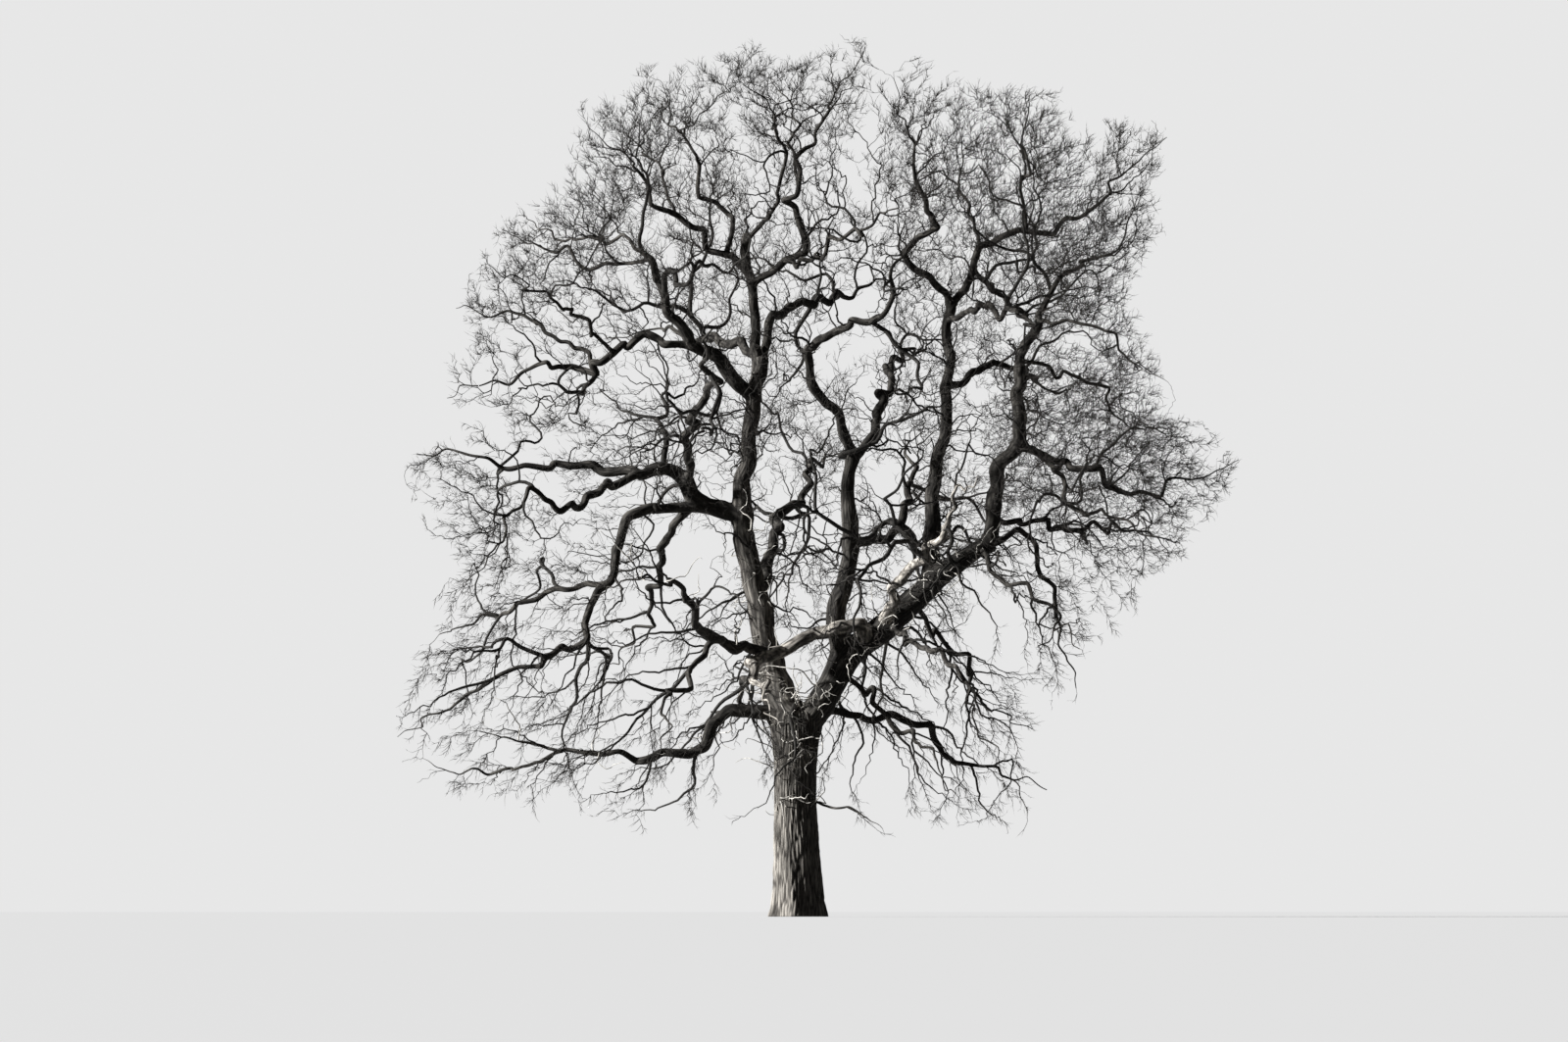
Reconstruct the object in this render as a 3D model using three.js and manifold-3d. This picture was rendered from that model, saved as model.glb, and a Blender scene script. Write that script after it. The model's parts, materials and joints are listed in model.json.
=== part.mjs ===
// A bare broad-crowned oak in winter, 20 m tall, as a trunk and its separate tapering limbs.
// Millimetres, +Z up. The origin is the centre of the flat cut under the trunk, at ground level.
// +X is to the right and +Y away from someone who stands in front of the tree.
import * as THREE from "three";
import { mergeVertices } from "three/addons/utils/BufferGeometryUtils.js";
import Module from "manifold-3d";

const wasm = await Module();
wasm.setup();

const metre = 1000;
const jointGap = 0.3; // between a limb and the wood that it grows from
const ringSpacing = 0.72 * metre; // along a span between two bends
const thickLimb = 0.2; // radius in metres from which a limb gets the most sides
const middlingLimb = 0.09;
const weldDistance = 0.01;
const weave = 0.02; // of a limb's length, how far it sways from front to back
const weaveTurns = 2; // along a limb
const weaveOrders = 5; // limbs in a row that each sway in their own way
const lineSamples = 200; // places looked at along a parent's line
const limbSides = { thick: 8, middling: 6, thin: 5 };
const sideHint = new THREE.Vector3(0.31, 0.92, 0.22); // a direction that no limb starts out in

// The trunk's height, half width and half depth, in metres, from the ground to the fork.
const trunkGirths = [
  [0, 0.66, 0.66], [0.18, 0.63, 0.62], [0.45, 0.59, 0.58], [1, 0.555, 0.54], [1.9, 0.51, 0.49],
  [2.8, 0.485, 0.47], [3.5, 0.495, 0.47], [4, 0.54, 0.48], [4.35, 0.6, 0.47], [4.55, 0.61, 0.43],
  [4.7, 0.46, 0.32], [4.78, 0.2, 0.15],
];
const trunk = {
  sides: 22,
  lean: -0.08 * metre,
  leanHeight: 2.6 * metre,
  roots: 5,
  sideRoots: 3, // smaller ones between them, half as strong
  rootRound: 0.3, // of the swell, the same all round
  rootSwell: 0.1, // of the radius, at the ground
  rootHeight: 0.42 * metre,
  rootTurn: 0.7,
};

const bark = { stem: 0x57524c, bough: 0x4e4a45, branch: 0x45413d };

// Each limb: what it grows from, its radius from foot to tip in metres, and the bends of its middle
// line as [across, up] or [across, up, back] in metres, where back is less than nothing in front.
// Its depth goes evenly from bend to bend where none is given, and ends at tipBack.
// A limb starts on the point of its parent nearest to its first bend.
const limbs = [
  {
    name: "left_leader", from: "trunk", radius: [0.38, 0.34, 0.28, 0.26, 0.21, 0.18, 0.14], tipBack: 0.4,
    bends: [[-0.22, 4], [-0.4, 4.8], [-0.5, 5.3], [-0.74, 6.1], [-0.97, 7.4, 0.5], [-1.35, 9.1, 0.9],
      [-1.3, 10.1], [-1.08, 11.5], [-0.86, 12.9]],
  },
  {
    name: "right_bough", from: "trunk", radius: [0.34, 0.31, 0.33, 0.32, 0.29, 0.24, 0.18], tipBack: -0.4,
    bends: [[0.2, 4], [0.47, 4.8], [0.78, 5.46], [1.19, 6.1], [1.8, 6.53], [2.48, 7.13], [3.04, 7.67],
      [3.83, 8.2], [4.43, 8.57]],
  },
  {
    name: "middle_stem", from: "right_bough", radius: [0.24, 0.22, 0.2, 0.17, 0.14], tipBack: -0.8,
    bends: [[0.6, 5.4], [0.62, 6.1], [0.78, 6.8], [1.02, 7.5], [1.22, 8.4], [1.25, 8.9], [1.16, 9.7],
      [1.26, 10.6]],
  },
  {
    name: "upright_stem", from: "right_bough", radius: [0.21, 0.19, 0.14, 0.12, 0.1], tipBack: 1,
    bends: [[2.8, 7.4], [3.04, 8.4], [3.08, 9.2], [3.15, 10.1], [3.3, 10.9], [3.38, 11.7], [3.42, 12.6],
      [3.45, 13.4], [3.5, 14.2]],
  },
  {
    name: "right_riser", from: "right_bough", radius: [0.18, 0.175, 0.14, 0.1, 0.065, 0.026],
    tipBack: -1.2,
    bends: [[4.2, 8.4], [4.45, 9], [4.5, 9.7], [4.65, 10.4], [5.08, 10.9], [5, 11.9], [5.1, 12.8],
      [5.35, 13.3], [5.8, 14.2], [6.4, 14.75], [7.2, 15.25], [7.5, 15.7], [7.7, 16.4]],
  },
  {
    name: "left_bough", from: "left_leader", radius: [0.24, 0.185, 0.115, 0.09, 0.06, 0.026],
    tipBack: 0.4,
    bends: [[-1.3, 9], [-1.8, 9.4], [-2.35, 9.55], [-2.6, 10.1], [-3.15, 10.3], [-3.9, 10.28], [-5.1, 10.42],
      [-5.8, 10.35], [-6.6, 10.38], [-7.1, 10.55], [-8.84, 10.7]],
  },
  {
    name: "left_arch", from: "left_bough", radius: [0.1, 0.1, 0.065, 0.045, 0.026], tipBack: -3,
    bends: [[-3.2, 10.25], [-4.15, 9.97], [-4.7, 9.65], [-5, 9.28], [-5.56, 9.3], [-5.8, 9.65],
      [-6.1, 9.75], [-6.4, 9.3], [-6.9, 8.2], [-7.5, 7.6]],
  },
  {
    name: "drooping_bough", from: "left_bough", radius: [0.14, 0.12, 0.105, 0.085, 0.07], tipBack: -1.2,
    bends: [[-2.4, 9.5], [-3, 9.38], [-3.6, 9.36], [-3.94, 9.15], [-4.16, 8.55], [-4.34, 7.9],
      [-4.75, 7.2], [-4.84, 6.5], [-5.15, 6.1], [-5.78, 5.92]],
  },
  {
    name: "far_left_spray", from: "drooping_bough", radius: [0.055, 0.048, 0.038, 0.019], tipBack: -0.4,
    bends: [[-5.75, 5.9], [-5.9, 5.65], [-6.4, 5.58], [-7.1, 5.25], [-7.8, 4.97], [-8.45, 4.65],
      [-9.2, 4.1]],
  },
  {
    name: "left_low_spray", from: "drooping_bough", radius: [0.07, 0.06, 0.026], tipBack: 1.6,
    bends: [[-4.4, 7.7], [-4.85, 7.65], [-5.5, 7.6], [-5.85, 7.35], [-6.65, 7.05], [-7.3, 6.85],
      [-8.3, 6.5]],
  },
  {
    name: "hanging_limb", from: "left_bough", radius: [0.1, 0.09, 0.065, 0.026], tipBack: 5.8,
    bends: [[-2.2, 9.5], [-2.75, 9.15, 0.9], [-3.1, 8.75, 1.7], [-3.3, 8.2, 2.6], [-3.5, 7.65, 3.6],
      [-3.65, 7, 4.4], [-3.95, 6.5, 5.1], [-4.5, 6]],
  },
  {
    name: "left_inner_riser", from: "left_bough", radius: [0.105, 0.105, 0.075, 0.026], tipBack: -6.4,
    bends: [[-2.6, 10], [-2.5, 10.8, -0.8], [-2.35, 11.4, -2], [-2, 12, -3.2], [-2.1, 12.6, -4.8],
      [-1.8, 13.2]],
  },
  {
    name: "low_left_bough", from: "trunk", radius: [0.17, 0.15, 0.115, 0.075, 0.06, 0.026], tipBack: -0.5,
    bends: [[-0.3, 4.2], [-0.68, 4.48], [-1.2, 4.7], [-1.65, 4.72], [-2, 4.32], [-2.1, 3.9], [-2.5, 3.72],
      [-3.1, 3.74], [-3.76, 3.56], [-4.5, 3.7], [-5.3, 3.8], [-6, 3.96], [-7.3, 4.25]],
  },
  {
    name: "low_left_fork", from: "low_left_bough", radius: [0.045, 0.036, 0.019], tipBack: 1.4,
    bends: [[-5.5, 3.8], [-6.1, 3.55], [-6.64, 3.35], [-7.3, 3.32], [-8, 3.38], [-8.55, 3.6]],
  },
  {
    name: "front_limb_left", from: "right_bough", radius: [0.16, 0.15, 0.13, 0.07, 0.045, 0.02],
    tipBack: -8,
    bends: [[1.75, 6.5], [1.45, 6.68, -0.75], [0.8, 6.56, -0.8], [0.2, 6.4, -0.7], [-0.35, 6.14, -0.62],
      [-0.75, 5.9, -1.2], [-1, 5.75, -2.2], [-1.05, 5.3, -3.6], [-0.7, 5.2, -5], [-0.8, 4.7, -6.6],
      [-0.4, 4.1]],
  },
  {
    name: "left_front_limb", from: "front_limb_left", radius: [0.12, 0.11, 0.08, 0.02], tipBack: -7.4,
    bends: [[-0.5, 6.08], [-0.9, 6.02, -1.1], [-1.3, 6.1, -1.8], [-1.78, 6.2, -2.6], [-2.2, 6.45, -3.5],
      [-2.43, 6.9, -4.5], [-2.8, 7.4, -5.7], [-3.4, 7.5, -6.7], [-3.9, 8]],
  },
  {
    name: "left_front_drop", from: "left_front_limb", radius: [0.07, 0.06, 0.026], tipBack: -6.3,
    bends: [[-1.7, 6.35], [-2.1, 6.1, -2.9], [-2.2, 5.5, -3.5], [-2.5, 5.1, -4.2], [-2.85, 4.9, -5],
      [-2.9, 4.3, -5.7], [-3.1, 3.6]],
  },
  {
    name: "high_left_bough", from: "left_leader", radius: [0.165, 0.165, 0.12, 0.1, 0.07], tipBack: -1,
    bends: [[-1.05, 11.7], [-1.4, 12.3], [-1.95, 12.84], [-2.54, 13.16], [-2.65, 13.6], [-2.97, 13.93],
      [-3.02, 14.47], [-3.3, 14.96], [-3.6, 15.2]],
  },
  {
    name: "high_left_reach", from: "high_left_bough", radius: [0.1, 0.09, 0.08, 0.065, 0.038, 0.019],
    tipBack: 0,
    bends: [[-2.6, 13.2], [-3.13, 13.14], [-3.6, 13.39], [-4.05, 13], [-4.57, 12.76], [-4.84, 12.49],
      [-5.3, 12.62], [-5.92, 12.69], [-6.5, 12.49], [-7.2, 12.2], [-8.1, 11.9]],
  },
  {
    name: "mid_left_riser", from: "high_left_reach", radius: [0.055, 0.048, 0.019], tipBack: 0.6,
    bends: [[-4.7, 12.6], [-4.95, 12.95], [-5.3, 13.4], [-5.8, 13.4], [-6.1, 13.72], [-6.7, 13.95],
      [-7.9, 14.06]],
  },
  {
    name: "mid_left_upper", from: "high_left_reach", radius: [0.05, 0.042, 0.019], tipBack: -3.8,
    bends: [[-4.1, 13], [-4.6, 13.25], [-4.9, 13.57], [-5.4, 13.9], [-6, 14.18], [-6.98, 14.62]],
  },
  {
    name: "upper_left_reach", from: "high_left_bough", radius: [0.05, 0.042, 0.019], tipBack: 0.3,
    bends: [[-3.5, 15.2], [-3.9, 14.95], [-4.4, 14.96], [-4.9, 15], [-5.33, 15.23], [-5.85, 15.35],
      [-6.9, 15.8]],
  },
  {
    name: "upper_left_spray", from: "high_left_bough", radius: [0.045, 0.036, 0.019], tipBack: 3.4,
    bends: [[-3.55, 15.2], [-4, 15.55], [-4.5, 15.64], [-5.06, 15.64], [-5.6, 15.97], [-6.2, 16.3],
      [-6.6, 16.5]],
  },
  {
    name: "left_back_limb", from: "left_leader", radius: [0.11, 0.105, 0.075, 0.026], tipBack: 6.5,
    bends: [[-0.9, 12.6], [-1.35, 13.15, 1.1], [-1.8, 13.4, 2.2], [-2.25, 13.6, 3.4], [-2.6, 13.6, 4.6],
      [-3.3, 14.1, 5.6], [-4.2, 13.9]],
  },
  {
    name: "left_top", from: "left_leader", radius: [0.13, 0.12, 0.115], tipBack: 0.8,
    bends: [[-0.87, 12.7], [-1.03, 13.6], [-1.1, 14.4], [-1.2, 15.1], [-1.17, 15.75]],
  },
  {
    name: "top_left_bough", from: "left_top", radius: [0.08, 0.075, 0.06, 0.038, 0.019], tipBack: -0.6,
    bends: [[-1.2, 15.2], [-1.64, 15.28], [-1.96, 15.6], [-2.63, 15.9], [-3.04, 16.25], [-3.42, 16.47],
      [-3.6, 16.94], [-3.94, 17.37], [-4.84, 18.1]],
  },
  {
    name: "upper_left_fork", from: "top_left_bough", radius: [0.045, 0.036, 0.019], tipBack: 2.4,
    bends: [[-2.5, 15.8], [-2.85, 16.2], [-3.06, 16.72], [-3.1, 17.17], [-3.44, 17.66], [-4.2, 18.6]],
  },
  {
    name: "top_left_riser", from: "left_top", radius: [0.065, 0.055, 0.038, 0.019], tipBack: 0.4,
    bends: [[-1.2, 15.6], [-1.58, 15.86], [-1.62, 16.18], [-1.96, 16.4], [-2.2, 16.83], [-2.3, 17.26],
      [-2.5, 17.7], [-2.8, 18.07], [-3.2, 19.3]],
  },
  {
    name: "top_inner_fork", from: "left_top", radius: [0.06, 0.05, 0.038, 0.019], tipBack: -3.2,
    bends: [[-1.15, 15.5], [-0.97, 15.9], [-0.5, 16.5], [-0.34, 17.1], [-0.5, 17.9], [-1.2, 19]],
  },
  {
    name: "ring_limb", from: "left_top", radius: [0.085, 0.085, 0.07, 0.055, 0.038, 0.019], tipBack: 0,
    bends: [[-1.12, 14.4], [-0.8, 14.8], [-0.15, 15.25], [0.1, 15.73], [-0.16, 16.2], [-0.3, 16.6],
      [-0.2, 16.9], [0.07, 17.55], [0.4, 17.96], [0.6, 18.5], [1.2, 19.35], [1.5, 20]],
  },
  {
    name: "top_back_riser", from: "ring_limb", radius: [0.04, 0.036, 0.019], tipBack: 2.8,
    bends: [[-0.2, 16.7], [-0.1, 17.4], [-0.1, 18.1], [-0.38, 18.8], [-0.63, 19.7]],
  },
  {
    name: "right_crossing_limb", from: "ring_limb", radius: [0.055, 0.048, 0.026], tipBack: -6,
    bends: [[-0.3, 15.1], [0.1, 15.1, -0.5], [0.5, 15.1, -1.4], [0.97, 15.4, -2.3], [1.46, 15.5, -3.6],
      [2, 15.75, -5], [2.5, 16.2]],
  },
  {
    name: "long_right_arm", from: "left_leader", radius: [0.11, 0.105, 0.09, 0.026], tipBack: 6,
    bends: [[-0.9, 12.4], [-0.68, 13.4, 0.9], [-0.56, 14, 1.5], [-0.07, 14.2, 2.4], [0.5, 14.35, 3.3],
      [0.9, 14.6, 4.1], [1.46, 14.8, 4.9], [2.5, 15.4]],
  },
  {
    name: "middle_left_limb", from: "middle_stem", radius: [0.12, 0.11, 0.095, 0.075, 0.026],
    tipBack: -5.8,
    bends: [[1.22, 10.4], [1, 11.1], [0.56, 11.77], [0.25, 12.2], [0.2, 12.78, -2.2], [0.47, 13.05],
      [1, 13.3, -3.2], [1.46, 13.34], [1.96, 13.66], [2.16, 14.3, -4.8], [2.36, 15.57]],
  },
  {
    name: "middle_right_limb", from: "middle_stem", radius: [0.11, 0.105, 0.075, 0.026], tipBack: 5.6,
    bends: [[1.28, 10.5], [1.62, 10.87], [1.9, 11.4, 0.4], [1.98, 12.04, 1.4], [2.1, 12.67, 2.4],
      [2.23, 13.1, 3.2], [2.6, 13.32, 4], [3.3, 13.8]],
  },
  {
    name: "middle_side_limb", from: "middle_stem", radius: [0.105, 0.105, 0.075, 0.026], tipBack: 6.6,
    bends: [[1.23, 8.6], [1.69, 8.64, 0.5], [2.18, 8.9, 1.4], [2.4, 9.3, 2.2], [2.6, 9.8, 3.2],
      [2.75, 10.6, 4.4], [2.5, 11, 5.6], [2.7, 11.6]],
  },
  {
    name: "upper_mid_limb", from: "upright_stem", radius: [0.09, 0.085, 0.07, 0.055, 0.038, 0.019],
    tipBack: -1.2,
    bends: [[3.5, 14.1], [3.4, 14.44], [3, 14.7], [2.63, 14.94], [2.52, 15.37], [2.66, 15.7], [3, 15.95],
      [2.93, 16.3], [2.6, 17.17], [2.54, 17.55], [2.4, 18.2], [2.2, 19.1]],
  },
  {
    name: "upper_right_limb", from: "upright_stem", radius: [0.09, 0.085, 0.07, 0.055, 0.038, 0.019],
    tipBack: 0,
    bends: [[3.5, 14.2], [3.83, 14.56], [4.03, 15], [4.2, 15.46], [4.6, 15.57], [5.33, 15.8], [6.03, 16.04],
      [6.53, 16.18], [6.86, 16.5], [7.3, 17], [7.76, 17.53], [8.5, 17.95]],
  },
  {
    name: "right_top_riser", from: "upper_right_limb", radius: [0.045, 0.036, 0.019], tipBack: -1.8,
    bends: [[5.3, 15.7], [5.22, 16.3], [5.2, 17.3], [5.24, 18.1], [5.3, 18.7]],
  },
  {
    name: "right_top_back", from: "upper_right_limb", radius: [0.045, 0.036, 0.019], tipBack: 2.8,
    bends: [[4.2, 15.3], [4.16, 15.6], [4.14, 16.2], [4, 16.6], [3.75, 17.1], [3.9, 18.7]],
  },
  {
    name: "right_front_arm", from: "upright_stem", radius: [0.07, 0.06, 0.026], tipBack: -6.2,
    bends: [[3.5, 13.6], [3.85, 13.88, 0.2], [4.23, 13.93, -0.9], [4.8, 13.75, -2.4], [5.04, 13.4, -3.6],
      [5.3, 13.2, -4.9], [5.7, 13.6]],
  },
  {
    name: "right_back_arm", from: "upper_right_limb", radius: [0.06, 0.055, 0.026], tipBack: 5.6,
    bends: [[3.8, 14.6], [4.35, 14.76, 1.7], [4.6, 14.65, 2.6], [5, 14.35, 3.6], [5.5, 14.3, 4.6],
      [6.2, 14.7]],
  },
  {
    name: "right_shoulder", from: "upright_stem", radius: [0.09, 0.08, 0.05, 0.026], tipBack: 5.8,
    bends: [[3.4, 12.1], [3.83, 12.46, 1.3], [4.28, 12.7, 1.9], [4.84, 12.85, 2.5], [5.3, 12.78, 3.2],
      [5.7, 12.53, 3.9], [6.2, 12.46, 4.7], [6.5, 12]],
  },
  {
    name: "right_shoulder_spray", from: "right_riser", radius: [0.05, 0.042, 0.019], tipBack: 0.8,
    bends: [[5.05, 12.6], [5.6, 12.6], [6.2, 12.45], [6.8, 12.26], [7.2, 11.9], [7.55, 11.4], [8.3, 11.3]],
  },
  {
    name: "right_edge_spray", from: "right_riser", radius: [0.045, 0.036, 0.019], tipBack: -2,
    bends: [[5.6, 13.8], [6.1, 13.55], [6.65, 13.45], [7.1, 13.3], [7.6, 12.8], [8.3, 12.2]],
  },
  {
    name: "far_right_limb", from: "right_riser", radius: [0.1, 0.085, 0.07, 0.05, 0.038, 0.019],
    tipBack: 0,
    bends: [[5, 10.8], [5.58, 10.57], [6, 10.4], [6.53, 10.26], [6.95, 10.17], [7.06, 9.8], [7.6, 9.63],
      [8.2, 9.8], [8.8, 10.03], [9.45, 10.1], [10.1, 10.5]],
  },
  {
    name: "right_low_front", from: "far_right_limb", radius: [0.06, 0.055, 0.026], tipBack: -3.8,
    bends: [[5.6, 10.6], [5.85, 10, -1.3], [6, 9.45, -1.9], [6.5, 9.1, -2.5], [7.3, 8.9, -3.1], [8.3, 8.2]],
  },
  {
    name: "right_level_limb", from: "right_riser", radius: [0.065, 0.06, 0.026], tipBack: 3.4,
    bends: [[4.45, 8.9], [5.1, 9.06], [5.85, 9.08], [6.4, 8.98], [7.3, 9.05], [8.2, 9], [8.9, 8.75]],
  },
  {
    name: "right_drop", from: "right_bough", radius: [0.065, 0.06, 0.026], tipBack: 1.6,
    bends: [[4.2, 8.4], [4.65, 8.62], [5, 8.86], [5.35, 8.5], [5.56, 7.9], [5.9, 7.5], [6.1, 6.9],
      [6.15, 6.2], [6.4, 5.3]],
  },
  {
    name: "right_under_spray", from: "right_bough", radius: [0.06, 0.048, 0.026], tipBack: -3.8,
    bends: [[3.9, 8.2], [4.4, 8.1], [4.66, 7.7], [5.1, 7.47], [5.56, 7.05], [5.8, 6.5], [6.3, 6]],
  },
  {
    name: "low_right_bough", from: "trunk", radius: [0.09, 0.085, 0.065, 0.026], tipBack: 0.6,
    bends: [[0.3, 4.4], [0.8, 4.72], [1.46, 4.66], [2.25, 4.57], [2.93, 4.28], [3.45, 3.78], [3.94, 3.56],
      [4.6, 3.38], [5.7, 2.9]],
  },
  {
    name: "low_right_front", from: "right_bough", radius: [0.065, 0.06, 0.026], tipBack: -4.6,
    bends: [[1, 5.6], [1.46, 5.2, -0.7], [1.96, 4.75, -1.5], [2.3, 4.2, -2.4], [2.86, 3.95, -3.2],
      [3.05, 3.4, -3.9], [3.5, 2.7]],
  },
  {
    name: "right_front_drop", from: "right_bough", radius: [0.07, 0.06, 0.026], tipBack: -5.9,
    bends: [[2.1, 6.8], [2.3, 6.4, -0.9], [2.54, 6.05, -1.8], [3.1, 6.1, -2.8], [3.4, 5.56, -3.6],
      [3.7, 5.2, -4.2], [3.9, 4.5, -5], [4.4, 3.4]],
  },
  {
    name: "right_mid_drop", from: "right_bough", radius: [0.06, 0.055, 0.026], tipBack: 4.2,
    bends: [[2.6, 7.2], [3.2, 6.5, 0.7], [3.76, 6, 1.6], [4.1, 5.3, 2.5], [4.6, 4.8, 3.3], [5.5, 4.4]],
  },
  {
    name: "front_limb_right", from: "right_bough", radius: [0.13, 0.12, 0.095, 0.065, 0.026],
    tipBack: -7.6,
    bends: [[1.95, 6.7], [2.15, 7.3, -1.1], [2.5, 7.9, -2.3], [3.1, 8.35, -3.8], [3.3, 9, -5.4], [3.9, 9.6]],
  },
  {
    name: "back_low_bough", from: "trunk", radius: [0.16, 0.13, 0.09, 0.05, 0.02], tipBack: 7.8,
    bends: [[-0.1, 4.2], [-0.4, 4.9, 1.2], [-0.8, 5.6, 2.6], [-1.2, 5.6, 4.1], [-1.4, 5, 5.4],
      [-2, 4.8, 6.6], [-2.3, 4]],
  },
  {
    name: "back_right_bough", from: "trunk", radius: [0.15, 0.13, 0.09, 0.05, 0.02], tipBack: 7.8,
    bends: [[0.2, 4.2], [0.5, 5.2, 1.1], [1.1, 6.2, 2.3], [1.7, 6.5, 3.7], [2.4, 6.9, 5.1], [3, 6.6, 6.5],
      [3.3, 6]],
  },
  {
    name: "back_mid_bough", from: "left_leader", radius: [0.16, 0.13, 0.1, 0.06, 0.02], tipBack: 8.3,
    bends: [[-0.95, 7.2], [-0.7, 8.2, 1.7], [-0.4, 9.3, 2.7], [0.1, 9.8, 4.2], [0.2, 10.7, 5.6],
      [0.7, 10.9, 7], [0.8, 11.5]],
  },
  {
    name: "lowest_branch", from: "trunk", radius: [0.035, 0.03, 0.019], tipBack: -0.9,
    bends: [[0.1, 2.5], [0.8, 2.55], [1.2, 2.45], [1.55, 2.35], [1.9, 2]],
  },
];

// A value read off an evenly spaced list, at share t of its length.
function along(list, t) {
  const place = t * (list.length - 1);
  const low = Math.min(Math.floor(place), list.length - 2);
  return THREE.MathUtils.lerp(list[low], list[low + 1], place - low);
}

// A closed cylinder whose points are moved by place(ring, angle, reach), into any tapering shape.
function bentCylinder(sides, rings, place) {
  const shape = new THREE.CylinderGeometry(1, 1, 1, sides, rings);
  const at = shape.attributes.position;
  const spot = new THREE.Vector3();
  for (let i = 0; i < at.count; i++) {
    spot.fromBufferAttribute(at, i);
    const ring = Math.round((spot.y + 0.5) * rings);
    const reach = Math.hypot(spot.x, spot.z);
    const moved = place(ring, Math.atan2(spot.x, spot.z), reach);
    at.setXYZ(i, moved.x, moved.y, moved.z);
  }
  return shape;
}

// A closed shape as a solid that can be cut.
function solidOf(shape) {
  const plain = shape.clone();
  plain.deleteAttribute("normal");
  plain.deleteAttribute("uv");
  const merged = mergeVertices(plain, weldDistance);
  return new wasm.Manifold(
    new wasm.Mesh({
      numProp: 3,
      vertProperties: new Float32Array(merged.attributes.position.array),
      triVerts: new Uint32Array(merged.index.array),
    }),
  );
}

function shapeOf(solid) {
  const mesh = solid.getMesh();
  const shape = new THREE.BufferGeometry();
  shape.setAttribute("position", new THREE.BufferAttribute(new Float32Array(mesh.vertProperties), 3));
  shape.setIndex(new THREE.BufferAttribute(new Uint32Array(mesh.triVerts), 1));
  shape.computeVertexNormals();
  return shape;
}

function largestPiece(solid) {
  return solid.decompose().reduce((a, b) => (a.volume() > b.volume() ? a : b));
}

// How far the trunk's middle has leant across at a height.
function trunkLean(up) {
  return trunk.lean * Math.min(1, up / trunk.leanHeight);
}

// The trunk, with the swell of its roots at the foot and a dome between the forks at the top.
function trunkSolid(spare) {
  const rings = trunkGirths.length - 1;
  const place = (ring, angle, reach) => {
    const [height, halfWidth, halfDepth] = trunkGirths[ring];
    const up = height * metre;
    const swell = trunk.rootSwell * Math.exp(-up / trunk.rootHeight);
    const broad = Math.cos(trunk.roots * angle + trunk.rootTurn);
    const lobes = broad + 0.5 * Math.cos(trunk.sideRoots * angle);
    const grow = 1 + swell * (trunk.rootRound + lobes);
    return new THREE.Vector3(
      trunkLean(up) + (halfWidth * metre * grow + spare) * reach * Math.sin(angle),
      -(halfDepth * metre * grow + spare) * reach * Math.cos(angle),
      up + (ring === rings ? spare : 0),
    );
  };
  return solidOf(bentCylinder(trunk.sides, rings, place));
}

// The trunk's own middle line, for the limbs that start on it.
function trunkLine() {
  const top = trunkGirths[trunkGirths.length - 1][0] * metre;
  const foot = new THREE.Vector3(trunkLean(top), 0, 0);
  return new THREE.LineCurve3(foot, foot.clone().setZ(top));
}

// The place on a parent's middle line nearest to a bend, as seen from the front.
function startOn(line, bend) {
  const away = (p) => Math.hypot(p.x - bend[0] * metre, p.z - bend[1] * metre);
  return line.getSpacedPoints(lineSamples).reduce((a, b) => (away(a) < away(b) ? a : b));
}

// The depth at each bend, evenly filled in between those that are given.
function depthsOf(view, reach) {
  const known = view.map((bend, i) => i).filter((i) => view[i].length > 2);
  return view.map((bend, i) => {
    const next = known.find((k) => k >= i);
    const last = known.findLast((k) => k <= i);
    if (next === last) return bend[2];
    const share = (reach[i] - reach[last]) / (reach[next] - reach[last]);
    return THREE.MathUtils.lerp(view[last][2], view[next][2], share);
  });
}

// A limb's middle line, from its parent's middle through its bends, swaying a little in depth.
function middleLine(limb, order, parentLine) {
  const start = startOn(parentLine, limb.bends[0]).divideScalar(metre);
  const view = [[start.x, start.z, start.y], ...limb.bends.slice(1)];
  view[view.length - 1] = [...view[view.length - 1].slice(0, 2), limb.tipBack];
  const reach = [0];
  for (let i = 1; i < view.length; i++) {
    reach.push(reach[i - 1] + Math.hypot(view[i][0] - view[i - 1][0], view[i][1] - view[i - 1][1]));
  }
  const depths = depthsOf(view, reach);
  const length = reach[reach.length - 1];
  const points = view.map(([across, up], i) => {
    const share = reach[i] / length;
    const phase = weaveTurns * share + order / weaveOrders;
    const sway = weave * length * share * Math.sin(2 * Math.PI * phase);
    return new THREE.Vector3(across, depths[i] + sway, up).multiplyScalar(metre);
  });
  return new THREE.CatmullRomCurve3(points, false, "centripetal");
}

function sidesFor(limb) {
  if (limb.radius[0] > thickLimb) return limbSides.thick;
  return limb.radius[0] > middlingLimb ? limbSides.middling : limbSides.thin;
}

// The middle of each ring of a limb: one at every bend, and more along a long span.
function ringCentres(line) {
  const spans = line.points.length - 1;
  const centres = [line.points[0].clone()];
  for (let i = 1; i <= spans; i++) {
    const parts = Math.max(1, Math.round(line.points[i].distanceTo(line.points[i - 1]) / ringSpacing));
    for (let k = 1; k <= parts; k++) centres.push(line.getPoint((i - 1 + k / parts) / spans));
  }
  return centres;
}

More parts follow.
